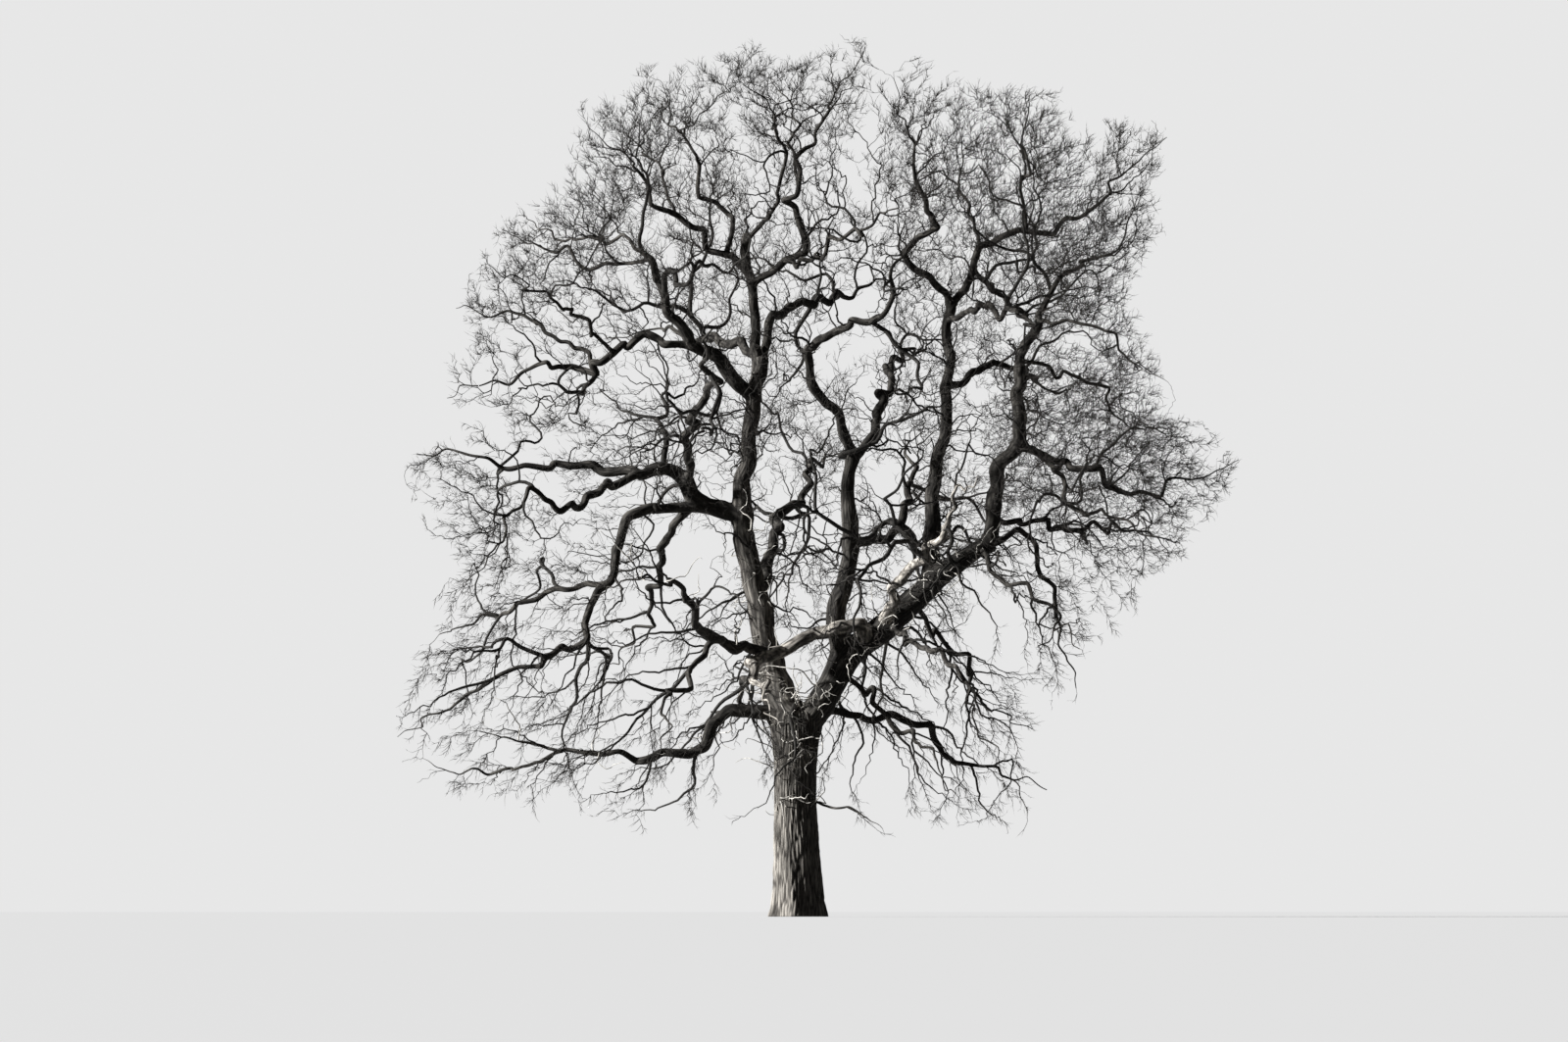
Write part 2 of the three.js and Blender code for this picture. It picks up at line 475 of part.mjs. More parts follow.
// At each centre, the direction along the limb and two across it that turn as little as they can.
function framesAt(centres) {
  const steps = centres.slice(1).map((centre, i) => centre.clone().sub(centres[i]).normalize());
  let side = sideHint;
  return centres.map((centre, i) => {
    const before = steps[Math.max(i - 1, 0)];
    const after = steps[Math.min(i, steps.length - 1)];
    const tangent = before.clone().add(after).normalize();
    side = side.clone().addScaledVector(tangent, -side.dot(tangent)).normalize();
    return { tangent, side, other: tangent.clone().cross(side) };
  });
}

// How far along its length each ring of a limb is, from 0 to 1.
function sharesOf(centres) {
  const reach = [0];
  for (let i = 1; i < centres.length; i++) reach.push(reach[i - 1] + centres[i].distanceTo(centres[i - 1]));
  return reach.map((far) => far / reach[reach.length - 1]);
}

// One limb as a closed tapering tube round its middle line, with spare added all round.
function limbSolid(limb, line, spare) {
  const centres = ringCentres(line);
  const frames = framesAt(centres);
  const shares = sharesOf(centres);
  const rings = centres.length - 1;
  const place = (ring, angle, reach) => {
    const radius = (along(limb.radius, shares[ring]) * metre + spare) * reach;
    return centres[ring]
      .clone()
      .addScaledVector(frames[ring].side, radius * Math.cos(angle))
      .addScaledVector(frames[ring].other, radius * Math.sin(angle))
      .addScaledVector(frames[ring].tangent, ring === rings ? spare : 0);
  };
  return solidOf(bentCylinder(sidesFor(limb), rings, place));
}

// True if the boxes round two solids meet.
function boxesMeet(a, b) {
  const [p, q] = [a.boundingBox(), b.boundingBox()];
  return [0, 1, 2].every((k) => p.min[k] <= q.max[k] && q.min[k] <= p.max[k]);
}

function woodOf(colour) {
  return new THREE.MeshStandardMaterial({ color: colour, roughness: 0.95, metalness: 0 });
}

function barkFor(limb) {
  if (limb.radius[0] > thickLimb) return woodOf(bark.stem);
  return woodOf(limb.radius[0] > middlingLimb ? bark.bough : bark.branch);
}

const tree = new THREE.Group();
const lines = { trunk: trunkLine() };
const grown = []; // each finished piece with the joint's gap round it, for the next ones to keep clear of

function addPiece(name, solid, material) {
  const mesh = new THREE.Mesh(shapeOf(solid), material);
  mesh.name = name;
  tree.add(mesh);
}

addPiece("trunk", trunkSolid(0), woodOf(bark.stem));
grown.push(trunkSolid(jointGap));

limbs.forEach((limb, order) => {
  const line = middleLine(limb, order, lines[limb.from]);
  lines[limb.name] = line;
  let solid = limbSolid(limb, line, 0);
  for (const wood of grown) {
    if (boxesMeet(solid, wood)) solid = largestPiece(solid.subtract(wood));
  }
  addPiece(limb.name, solid, barkFor(limb));
  grown.push(limbSolid(limb, line, jointGap));
});

export default tree;
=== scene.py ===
import json
import math
import bpy
import numpy as np
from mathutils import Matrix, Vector
from mathutils.kdtree import KDTree

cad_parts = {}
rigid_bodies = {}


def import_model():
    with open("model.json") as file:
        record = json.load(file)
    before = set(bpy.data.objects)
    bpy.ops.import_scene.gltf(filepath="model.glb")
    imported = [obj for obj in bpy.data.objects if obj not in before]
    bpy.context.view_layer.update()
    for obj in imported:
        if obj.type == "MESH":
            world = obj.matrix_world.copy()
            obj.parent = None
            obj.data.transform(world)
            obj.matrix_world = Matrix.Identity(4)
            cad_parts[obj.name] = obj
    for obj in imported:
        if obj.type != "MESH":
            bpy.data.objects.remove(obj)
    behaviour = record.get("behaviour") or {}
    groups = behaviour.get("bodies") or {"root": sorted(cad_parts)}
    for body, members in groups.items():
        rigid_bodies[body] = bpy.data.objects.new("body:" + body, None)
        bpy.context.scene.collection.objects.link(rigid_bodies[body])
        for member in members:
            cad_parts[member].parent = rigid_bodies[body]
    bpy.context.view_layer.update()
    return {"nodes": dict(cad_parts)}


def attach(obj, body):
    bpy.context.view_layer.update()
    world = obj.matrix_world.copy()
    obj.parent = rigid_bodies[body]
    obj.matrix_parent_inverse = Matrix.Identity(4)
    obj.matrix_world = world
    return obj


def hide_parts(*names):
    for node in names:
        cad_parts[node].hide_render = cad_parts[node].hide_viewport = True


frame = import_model()
draw = np.random.default_rng(1907)  # every random draw below comes from here, in order


# small helpers for rows of points

def unit(rows):
    return rows / np.maximum(np.linalg.norm(rows, axis=-1, keepdims=True), 1e-9)


def lengthsAlong(rows):
    steps = np.linalg.norm(np.diff(rows[:, :3], axis=0), axis=1)
    return np.concatenate([[0.0], np.cumsum(steps)])


def smoothAlong(at, rows, want):
    # a smooth curve through the rows, read at the wanted places
    slope = np.gradient(rows, at, axis=0)
    k = np.clip(np.searchsorted(at, want, side="right") - 1, 0, len(at) - 2)
    gap = (at[k + 1] - at[k])[:, None]
    t = (want - at[k])[:, None] / gap
    start, end = rows[k], rows[k + 1]
    bend = (2 * t**3 - 3 * t**2 + 1) * start + (3 * t**2 - 2 * t**3) * end
    return bend + gap * ((t**3 - 2 * t**2 + t) * slope[k] + (t**3 - t**2) * slope[k + 1])


def straightAlong(at, rows, want):
    # straight stretches from row to row, read at the wanted places
    return np.column_stack([np.interp(want, at, column) for column in rows.T])


def sumsOf(numbers, rows, count):
    # adds up the rows that share a number
    return np.column_stack([np.bincount(numbers, column, count) for column in rows.T])


def firstOf(sizes):
    # where each run starts, when runs of these sizes lie one after another
    return np.concatenate([[0], np.cumsum(sizes)[:-1]])


def fullTurn(count):
    return np.linspace(0, 2 * math.pi, count, endpoint=False)


def directionsRound(side, up, turn):
    # the directions straight out of a line, all round each of its points
    return np.cos(turn)[:, None] * side[:, None] + np.sin(turn)[:, None] * up[:, None]


def nearestOf(spots, places):
    # for each place, the number of the nearest spot, and how far off it is
    tree = KDTree(len(spots))
    for number, spot in enumerate(spots.tolist()):
        tree.insert(spot, number)
    tree.balance()
    found = [tree.find(place) for place in places.tolist()]
    return np.array([hit[1] for hit in found]), np.array([hit[2] for hit in found])


def meshSpots(mesh):
    spots = np.empty(len(mesh.vertices) * 3, np.float32)
    mesh.vertices.foreach_get("co", spots)
    return spots.reshape(-1, 3)


def meshPiece(name, spots, faces, faceSizes):
    # one smooth mesh object from arrays of points and faces
    mesh = bpy.data.meshes.new(name)
    mesh.vertices.add(len(spots))
    mesh.vertices.foreach_set("co", np.asarray(spots, np.float32).ravel())
    mesh.loops.add(len(faces))
    mesh.loops.foreach_set("vertex_index", np.asarray(faces, np.int32))
    mesh.polygons.add(len(faceSizes))
    mesh.polygons.foreach_set("loop_start", firstOf(faceSizes).astype(np.int32))
    mesh.update(calc_edges=True)
    mesh.validate()
    piece = bpy.data.objects.new(name, mesh)
    bpy.context.collection.objects.link(piece)
    mesh.shade_smooth()
    return piece


# the limbs' middle lines, read off the frame's own solids

reading = {
    "decimals": 4,         # points that agree this far are one point
    "uneven": 0.1,         # how much a ring's radii may differ, as a share of their mean
    "trunkTurns": 24,      # in how many directions the trunk's outline is read
    "sameLevel": 0.01,
    "offMiddle": 0.05,     # points nearer the trunk's middle aren't on its outline
}


def weldedNode(name):
    # a node's points with the doubles merged, and the edges between them
    mesh = frame["nodes"][name].data
    corners = np.empty(len(mesh.loops), np.int32)
    mesh.loops.foreach_get("vertex_index", corners)
    exact = np.round(meshSpots(mesh).astype(float), reading["decimals"])
    spots, same = np.unique(exact, axis=0, return_inverse=True)
    tris = same.ravel()[corners].reshape(-1, 3)
    edges = np.concatenate([tris[:, [0, 1]], tris[:, [1, 2]], tris[:, [2, 0]]])
    return spots, edges


def hopsFrom(seed, edges, count):
    # how many edges each point is away from the seed
    level = np.full(count, -1)
    level[seed] = 0
    a, b = edges.T
    step = 0
    while True:
        reached = np.unique(np.concatenate([b[level[a] == step], a[level[b] == step]]))
        fresh = reached[level[reached] < 0]
        if len(fresh) == 0:
            return level
        step += 1
        level[fresh] = step


def tipMiddle(spots, edges):
    # the point in the middle of a limb's flat tip: its neighbours are a small regular ring round it
    pairs = np.unique(np.sort(edges, axis=1), axis=0)
    here, there = np.vstack([pairs, pairs[:, ::-1]]).T
    count = len(spots)
    degree = np.bincount(here, minlength=count)
    away = np.linalg.norm(spots[there] - spots[here], axis=1)
    mean = np.bincount(here, away, count) / degree
    spread = np.sqrt(np.maximum(np.bincount(here, away**2, count) / degree - mean**2, 0))
    middle = sumsOf(here, spots[there], count) / degree[:, None]
    off = np.linalg.norm(middle - spots, axis=1)
    return int(np.argmin((spread + off) / mean + mean))


def limbRings(name):
    # the middle and radius of each ring of a limb's solid, from its foot to its tip: the rings
    # are found by walking back from the middle of the tip
    spots, edges = weldedNode(name)
    level = hopsFrom(tipMiddle(spots, edges), edges, len(spots))
    sides = np.sum(level == 1)
    rings = []
    for step in range(1, level.max() + 1):
        ring = spots[level == step]
        middle = ring.mean(axis=0)
        away = np.linalg.norm(ring - middle, axis=1)
        if len(ring) == sides and away.std() < reading["uneven"] * away.mean():
            rings.append([*middle, away.mean()])
    return np.array(rings[::-1])


def trunkLevels():
    # middle, height and radius all round at each level of the trunk's solid
    spots, _ = weldedNode("trunk")
    turn = fullTurn(reading["trunkTurns"])
    rows = []
    for height in np.unique(np.round(spots[:, 2], 2)):
        ring = spots[np.abs(spots[:, 2] - height) < reading["sameLevel"]]
        middle = (ring.min(axis=0) + ring.max(axis=0)) / 2
        off = ring[:, :2] - middle[:2]
        off = off[np.hypot(off[:, 0], off[:, 1]) > reading["offMiddle"]]
        away = np.hypot(off[:, 0], off[:, 1])
        angle = np.arctan2(off[:, 1], off[:, 0]) % (2 * math.pi)
        order = np.argsort(angle)
        reach = np.interp(turn, angle[order], away[order], period=2 * math.pi)
        rows.append([*middle[:2], height, *reach])
    return np.array(rows)


# the skins of the trunk and limbs

trunkShape = {
    "sides": 168,
    "ringGap": 0.034,
    "harmonics": 7,        # how finely the solid's own outline is followed
    "girth": 0.5,          # the radius that the bark's grain is laid out on
    "plate": 0.048,        # width of one ridge of bark
    "bark": 0.034,         # depth of the fissures
    "flutes": 6,           # broad ribs that run up from the roots
    "fluteDepth": 0.045,
    "fluteRound": 0.7,     # below 1, the ribs are broad and the hollows between them narrow
    "fluteMean": 0.75,
    "fluteTop": 3.2,
    "fluteFade": 1.5,
    "fluteLeast": 0.12,    # they never fade out wholly
    "ribs": 11,            # and smaller ribs
    "ribDepth": 0.35,      # as a share of the broad ones'
    "starts": (0.6, 1.7),  # where the flutes and the ribs start round the trunk
    "twist": 0.16,         # turn of both, in radians per metre
}


def skinOf(name, parent, core, spots, out, grain, depth):
    # one limb: its middle line with its radii, and for each point of its skin the place, the
    # direction out, the place in the bark's grain and the depth of the fissures
    return {"name": name, "parent": parent, "core": core, "rings": len(spots), "sides": spots.shape[1],
            "spots": spots.reshape(-1, 3), "out": out.reshape(-1, 3),
            "grain": grain.reshape(-1, 3), "depth": depth}


def growTrunk():
    shape = trunkShape
    levels = trunkLevels()
    top = levels[-1, 2]
    heights = np.linspace(0, top, int(top / shape["ringGap"]) + 1)
    rows = smoothAlong(levels[:, 2], levels, heights)
    harmonic = np.arange(shape["harmonics"])
    waves = np.fft.rfft(rows[:, 3:], axis=1)[:, :shape["harmonics"]]
    turn = fullTurn(shape["sides"])
    parts = np.exp(1j * np.outer(harmonic, turn))
    scale = np.where(harmonic == 0, 1, 2) / reading["trunkTurns"]
    radius = np.real((waves * scale) @ parts)
    fade = np.clip(1 - heights / shape["fluteTop"], shape["fluteLeast"], 1)[:, None]
    twisted = turn[None, :] + shape["twist"] * heights[:, None]
    fluteStart, ribStart = shape["starts"]
    ribs = np.abs(np.sin(shape["flutes"] / 2 * twisted + fluteStart)) ** shape["fluteRound"]
    ribs = ribs + shape["ribDepth"] * np.sin(shape["ribs"] * twisted + ribStart)
    ribs = ribs - shape["fluteMean"]
    radius = radius + shape["fluteDepth"] * fade ** shape["fluteFade"] * ribs
    around = np.stack([np.cos(turn), np.sin(turn)], axis=-1)
    spots = np.zeros((len(heights), shape["sides"], 3))
    spots[..., :2] = rows[:, None, :2] + radius[..., None] * around
    spots[..., 2] = heights[:, None]
    out = np.zeros_like(spots)
    out[..., :2] = around
    grain = spots.copy()
    grain[..., :2] = around * shape["girth"]
    core = np.column_stack([rows[:, :3], radius.mean(axis=1)])
    depth = np.full(len(heights) * shape["sides"], shape["bark"])
    return skinOf("trunk", None, core, spots, out, grain / shape["plate"], depth)


limbShape = {
    "cell": 0.027,         # about the width of one face round a limb
    "sides": (8, 84),
    "ringGap": (0.045, 0.075),
    "ringShare": 0.4,      # from ring to ring, as a share of the radius
    "foot": (1.06, 0.95),  # radius at the foot beside the solid's, and at most beside the parent's
    "kink": (0.36, 0.1),   # about how far apart a thin limb's smaller kinks are, and how deep
    "waver": (0.16, 0.018),
    "jitter": 0.4,         # how uneven their spacing is
    "slender": 0.08,       # thicker wood than this kinks less
    "leastKink": 0.2,
    "straightFoot": 0.8,   # kinks set in over this length, and die away towards the tip
    "straightTip": (0.5, 0.3),       # over this length, down to this share
    "bendRound": 0.6,      # how round a bend is, in radii
    "bendPasses": 30,
    "collar": 0.3,         # how much a limb swells where it leaves its parent
    "collarFrom": 1.3,     # only where the parent is more than this many times as thick
    "collarLength": (0.8, 1.6),      # where it starts to fade, in the parent's radii, and how fast
    "knobs": (0.3, 0.06),  # how far apart a limb's swollen places are, and how thick
    "knobRange": (0.88, 1.15),
    "tip": 0.4,            # how thin the last of a limb is, as a share of its solid
    "tipFrom": 0.5,
    "tipBelow": 0.045,     # a limb whose solid ends thicker than this is left as it is
    "tipPoint": 0.7,       # how far the middle of its end stands out, in radii
    "girths": (0.03, 0.3),
    "plate": (0.018, 0.055),         # width of a ridge of bark, on the thinnest and thickest
    "shift": 50,           # how far one limb's bark may be from another's in the pattern
    "bark": 0.1,           # depth of the fissures, as a share of the radius
    "barkRange": (0.0015, 0.024),
}

joining = {
    "step": 0.05,          # how closely the wood that may carry a limb is looked along
    "reach": 1.5,          # how far back the limb's own line is followed to it
    "farther": 0.8,        # such wood is less likely the further back it is
    "thinner": (0.8, 2.0),           # or if it is thinner than this share of the limb
    "length": 2.2,         # how much of a limb its smooth joint may take up
    "rings": 60,           # past this many rings there, every second one is enough
    "margin": 0.9,         # how far round the joint the skin is looked at
    "width": 1.0,          # of the smooth joint, in radii
    "widthRange": (0.03, 0.13),
}


def findParents(rings):
    # a limb's parent is the wood that its own line runs back into
    share, fault = joining["thinner"]
    parents = {}
    for name, own in rings.items():
        if name == "trunk":
            continue
        foot = own[0, :3]
        back = unit((own[0, :3] - own[1, :3])[None])[0]
        best = None
        for other, core in rings.items():
            if other == name:
                continue
            at = lengthsAlong(core)
            places = np.linspace(0, at[-1], int(at[-1] / joining["step"]) + 2)
            dense = smoothAlong(at, core, places)
            reach = np.clip((dense[:, :3] - foot) @ back, 0, joining["reach"])
            miss = np.linalg.norm(dense[:, :3] - (foot + reach[:, None] * back), axis=1)
            score = miss / dense[:, 3] + joining["farther"] * reach
            score = score + fault * (dense[:, 3] < share * own[0, 3])
            j = int(np.argmin(score))
            if best is None or score[j] < best[0]:
                best = (score[j], other, dense[j, :3])
        parents[name] = (best[1], best[2])
    return parents


def frameAlong(path):
    # directions across a line, carried on from point to point without a twist
    along = unit(np.gradient(path, axis=0))
    side = np.zeros_like(along)
    last = np.cross(along[0], [0.31, 0.22, 0.92])    # any direction that no limb starts in
    for i in range(len(path)):
        last = last - along[i] * (last @ along[i])
        last = last / max(np.linalg.norm(last), 1e-9)
        side[i] = last
    return side, np.cross(along, side)


def kinks(at, apart, reach):
    # sideways bends with straight stretches between them, about one every so many metres
    jitter = limbShape["jitter"]
    places = np.arange(-apart, at[-1] + 2 * apart, apart)
    places = places + draw.uniform(-jitter, jitter, len(places)) * apart
    return straightAlong(places, draw.normal(0, reach, (len(places), 3)), at)


def rounded(rows, passes):
    # rounds the corners of a line, whose ends stay
    for _ in range(passes):
        rows[1:-1] = (rows[:-2] + 2 * rows[1:-1] + rows[2:]) / 4
    return rows


def growLimb(name, rings, parent, joint):
    # the middle line starts inside the parent's wood
    shape = limbShape
    nearest = np.argmin(np.linalg.norm(parent["core"][:, :3] - joint, axis=1))
    foot = parent["core"][nearest]
    swollen, most = shape["foot"]
    first = min(rings[0, 3] * swollen, foot[3] * most)
    rows = np.vstack([[*foot[:3], first], rings])
    at = lengthsAlong(rows)
    girth = rings[:, 3].mean()
    gap = float(np.clip(girth * shape["ringShare"], *shape["ringGap"]))
    want = np.linspace(0, at[-1], int(at[-1] / gap) + 1)
    core = straightAlong(at, rows, want)
    # its smaller kinks
    thin = np.clip(shape["slender"] / core[:, 3], shape["leastKink"], 1)
    dieAway, left = shape["straightTip"]
    free = np.clip((want - foot[3]) / shape["straightFoot"], 0, 1)
    free = free * np.clip((at[-1] - want) / dieAway + left, 0, 1)
    bends = kinks(want, *shape["kink"]) + kinks(want, *shape["waver"])
    core[:, :3] += bends * (thin * free)[:, None]
    passes = int(2 * (shape["bendRound"] * girth / gap) ** 2) + 1
    core[:, :3] = rounded(core[:, :3], min(passes, shape["bendPasses"]))
    # its thickness
    inParent, length = shape["collarLength"]
    thicker = np.clip(foot[3] / rings[0, 3] - shape["collarFrom"], 0, 1)
    beyond = np.clip(want - foot[3] * inParent, 0, None)
    collar = 1 + shape["collar"] * thicker * np.exp(-beyond / (length * rings[0, 3]))
    apart, thickness = shape["knobs"]
    knobs = 1 + thickness * kinks(want, apart, 1)[:, 0]
    core[:, 3] *= collar * np.clip(knobs, *shape["knobRange"])
    if rings[-1, 3] < shape["tipBelow"]:
        core[:, 3] *= np.interp(want / at[-1], [shape["tipFrom"], 1], [1, shape["tip"]])
    # and the skin round it
    sides = int(np.clip(2 * math.pi * girth / shape["cell"], *shape["sides"]))
    side, up = frameAlong(core[:, :3])
    turn = fullTurn(sides)
    out = directionsRound(side, up, turn)
    spots = core[:, None, :3] + out * core[:, None, 3:]
    grain = np.empty_like(spots)
    grain[..., :2] = np.stack([np.cos(turn), np.sin(turn)], axis=-1)[None] * girth
    grain[..., 2] = want[:, None]
    grain = grain / np.interp(girth, shape["girths"], shape["plate"])
    grain = grain + draw.uniform(-shape["shift"], shape["shift"], 3)
    depth = np.repeat(np.clip(core[:, 3] * shape["bark"], *shape["barkRange"]), sides)
    return skinOf(name, parent["name"], core, spots, out, grain, depth)


def pushOut(limb, core, room):
    # swells one limb's skin where another's comes near, so that the two run into each other
    near = np.linalg.norm(core[:, :3] - core[0, :3], axis=1) < joining["length"]
    core = core[near][::2] if near.sum() > joining["rings"] else core[near]
    spots = limb["spots"]
    low = core[:, :3].min(axis=0) - joining["margin"]
    high = core[:, :3].max(axis=0) + joining["margin"]
    some = np.flatnonzero(np.all((spots > low) & (spots < high), axis=1))
    if len(some) == 0:
        return
    gap = np.full(len(some), np.inf)
    for row in core:
        gap = np.minimum(gap, np.linalg.norm(spots[some] - row[:3], axis=1) - row[3])
    push = np.clip(room - np.abs(gap), 0, None) ** 2 / (4 * room)
    limb["spots"][some] += limb["out"][some] * push[:, None]


print("Reading the limbs off the frame")
allRings = {name: limbRings(name) for name in sorted(frame["nodes"]) if name != "trunk"}
limbs = {"trunk": growTrunk()}
allRings["trunk"] = limbs["trunk"]["core"]
parents = findParents(allRings)
waiting = [name for name in sorted(allRings) if name != "trunk"]
while waiting:
    for name in list(waiting):
        parentName, joint = parents[name]
        if parentName in limbs:
            limbs[name] = growLimb(name, allRings[name], limbs[parentName], joint)
            waiting.remove(name)

print("Running the limbs into each other")
for name, limb in limbs.items():
    if limb["parent"] is None:
        continue
    parent = limbs[limb["parent"]]
    room = np.clip(joining["width"] * limb["core"][0, 3], *joining["widthRange"])
    pushOut(parent, limb["core"], room)
    away = np.linalg.norm(parent["core"][:, :3] - limb["core"][0, :3], axis=1)
    near = away < joining["length"]
    pushOut(limb, parent["core"][near][np.argsort(away[near])], room)


# nodes for the bark's relief and for the materials

def setInputs(tree, node, inputs):
    # an input takes a plain value, or a link from another node's output
    for socket, value in inputs.items():
        if isinstance(value, bpy.types.NodeSocket):
            tree.links.new(value, node.inputs[socket])
        else:
            node.inputs[socket].default_value = value


def addNode(tree, kind, inputs=None, **settings):
    node = tree.nodes.new(kind)
    for key, value in settings.items():
        setattr(node, key, value)
    setInputs(tree, node, inputs or {})
    return node


def newMaterial(name, surface):
    material = bpy.data.materials.new(name)
    material.use_nodes = True
    shader = material.node_tree.nodes["Principled BSDF"]
    setInputs(material.node_tree, shader, surface)
    return material, material.node_tree, shader


def colourRamp(tree, share, places, colours, shades):
    # runs from one colour to another, each made darker or paler by its shade
    node = addNode(tree, "ShaderNodeValToRGB", {"Fac": share})
    for element, place, colour, shade in zip(node.color_ramp.elements, places, colours, shades):
        element.position = place
        element.color = (*[c * shade for c in colour], 1)
    return node.outputs["Color"]


barkShape = {
    "stretch": (1, 1, 0.1),                  # ridges are ten times as long as they are wide
    "stir": {"Scale": 0.6, "Detail": 2},     # they waver this often
    "stirBy": (1.1, 1.1, 1.1),               # and this far
    "plates": {"Scale": 0.8},
    "crack": {"From Max": 0.3},              # width of the fissures
    "rough": {"Scale": 1.6, "Detail": 4},
    "roughHeight": 0.5,                      # how uneven the ridges are
    "ridgeHeight": 0.7,
    "skin": 0.75,                            # the height that lies on the limb's own skin
}


def calculate(tree, operation, *values):
    # a number from other numbers, which are plain values or other nodes' outputs
    return addNode(tree, "ShaderNodeMath", dict(enumerate(values)), operation=operation).outputs[0]


def barkRelief():
    # a tree of nodes that is applied to each mesh of bark
    shape = barkShape
    tree = bpy.data.node_groups.new("barkRelief", "GeometryNodeTree")
    tree.interface.new_socket(name="Geometry", in_out="INPUT", socket_type="NodeSocketGeometry")
    tree.interface.new_socket(name="Geometry", in_out="OUTPUT", socket_type="NodeSocketGeometry")
    start = addNode(tree, "NodeGroupInput")
    grain = addNode(tree, "GeometryNodeInputNamedAttribute", {0: "grain"}, data_type="FLOAT_VECTOR")
    depth = addNode(tree, "GeometryNodeInputNamedAttribute", {0: "barkDepth"}, data_type="FLOAT")
    stretch = addNode(tree, "ShaderNodeVectorMath", operation="MULTIPLY",
                      inputs={0: grain.outputs["Attribute"], 1: shape["stretch"]})
    stir = addNode(tree, "ShaderNodeTexNoise", {"Vector": stretch.outputs[0], **shape["stir"]})
    moved = addNode(tree, "ShaderNodeVectorMath", operation="MULTIPLY_ADD",
                    inputs={0: stir.outputs["Color"], 1: shape["stirBy"], 2: stretch.outputs[0]})
    plates = addNode(tree, "ShaderNodeTexVoronoi", feature="DISTANCE_TO_EDGE",
                     inputs={"Vector": moved.outputs[0], **shape["plates"]})
    crack = addNode(tree, "ShaderNodeMapRange", interpolation_type="SMOOTHSTEP",
                    inputs={"Value": plates.outputs["Distance"], **shape["crack"]})
    rough = addNode(tree, "ShaderNodeTexNoise", {"Vector": moved.outputs[0], **shape["rough"]})
    share = calculate(tree, "MULTIPLY", rough.outputs["Fac"], shape["roughHeight"])
    height = calculate(tree, "MULTIPLY_ADD", crack.outputs["Result"], shape["ridgeHeight"], share)
    level = calculate(tree, "SUBTRACT", height, shape["skin"])
    push = calculate(tree, "MULTIPLY", level, depth.outputs["Attribute"])
    facing = addNode(tree, "GeometryNodeInputNormal")
    offset = addNode(tree, "ShaderNodeVectorMath", operation="SCALE",
                     inputs={0: facing.outputs[0], "Scale": push})
    store = addNode(tree, "GeometryNodeStoreNamedAttribute", data_type="FLOAT", domain="POINT",
                    inputs={"Geometry": start.outputs[0], "Name": "relief", "Value": height})
    place = addNode(tree, "GeometryNodeSetPosition",
                    inputs={"Geometry": store.outputs[0], "Offset": offset.outputs[0]})
    addNode(tree, "NodeGroupOutput", {0: place.outputs[0]})
    return tree


barkLook = {
    # painted shade, in part: the fissures are coloured far darker than the ridges, partly the bark's own
    # dark fissures and partly shade painted into them
    "fissure": (0.028, 0.025, 0.022),
    "ridge": (0.27, 0.252, 0.225),
    "between": (0.22, 0.95),     # the heights in the relief that have these colours
    "trunk": 1.0,
    "limb": 0.4,                 # painted shade: the boughs' bark is painted this much darker than the trunk's
    "front": 2.7,                # painted light: the two limbs at the front are painted this much paler, as if sunlit
    # painted light and shade: how much paler or darker the bark is painted at each height of the trunk and
    # the fork's two halves, paler where sunlight should fall and darker where shadow should fall, as on the
    # right bough in the left leader's shadow
    "paintedLightShade": {
        "trunk": ([2.0, 3.2, 4.4], [1.75, 1.1, 0.75]),
        "left_leader": ([4.6, 5.5, 10.0], [0.8, 1.25, 0.65]),
        "right_bough": ([4.6, 5.6], [0.5, 0.24]),
    },
    "patches": {"Scale": 2.6, "Detail": 5},      # paler and darker patches
    "patchTone": {"From Min": 0.3, "From Max": 0.7, "To Min": 0.62, "To Max": 1.3},
    "fine": {"Scale": 2.2, "Detail": 6},         # the finest roughness, drawn out along the wood
    "fineStretch": (1, 1, 0.3),
    "bump": {"Strength": 0.4, "Distance": 0.012},
    "surface": {"Roughness": 0.92, "Specular IOR Level": 0.25},
}


def barkMaterial(kind):
    look = barkLook
    material, tree, shader = newMaterial(kind + "Bark", look["surface"])
    relief = addNode(tree, "ShaderNodeAttribute", attribute_name="relief")
    grain = addNode(tree, "ShaderNodeAttribute", attribute_name="grain")
    paintedLightShade = addNode(tree, "ShaderNodeAttribute", attribute_name="paintedLightShade")
    place = addNode(tree, "ShaderNodeTexCoord")
    # the colour follows the relief: the fissures get painted shade besides their own darker colour, the
    # ridges stay pale
    paint = colourRamp(tree, relief.outputs["Fac"], look["between"],
                       (look["fissure"], look["ridge"]), (look[kind], look[kind]))
    patches = addNode(tree, "ShaderNodeTexNoise", {"Vector": place.outputs["Object"], **look["patches"]})
    tone = addNode(tree, "ShaderNodeMapRange", {"Value": patches.outputs["Fac"], **look["patchTone"]})
    # the random paler and darker patches, times the painted light and shade stored on the mesh
    both = calculate(tree, "MULTIPLY", tone.outputs[0], paintedLightShade.outputs["Fac"])
    colour = addNode(tree, "ShaderNodeVectorMath", operation="SCALE", inputs={0: paint, "Scale": both})
    stretch = addNode(tree, "ShaderNodeMapping",
                      {"Vector": grain.outputs["Vector"], "Scale": look["fineStretch"]})
    fine = addNode(tree, "ShaderNodeTexNoise", {"Vector": stretch.outputs[0], **look["fine"]})
    bump = addNode(tree, "ShaderNodeBump", {"Height": fine.outputs["Fac"], **look["bump"]})
    setInputs(tree, shader, {"Base Color": colour.outputs[0], "Normal": bump.outputs[0]})
    return material


# the meshes of bark

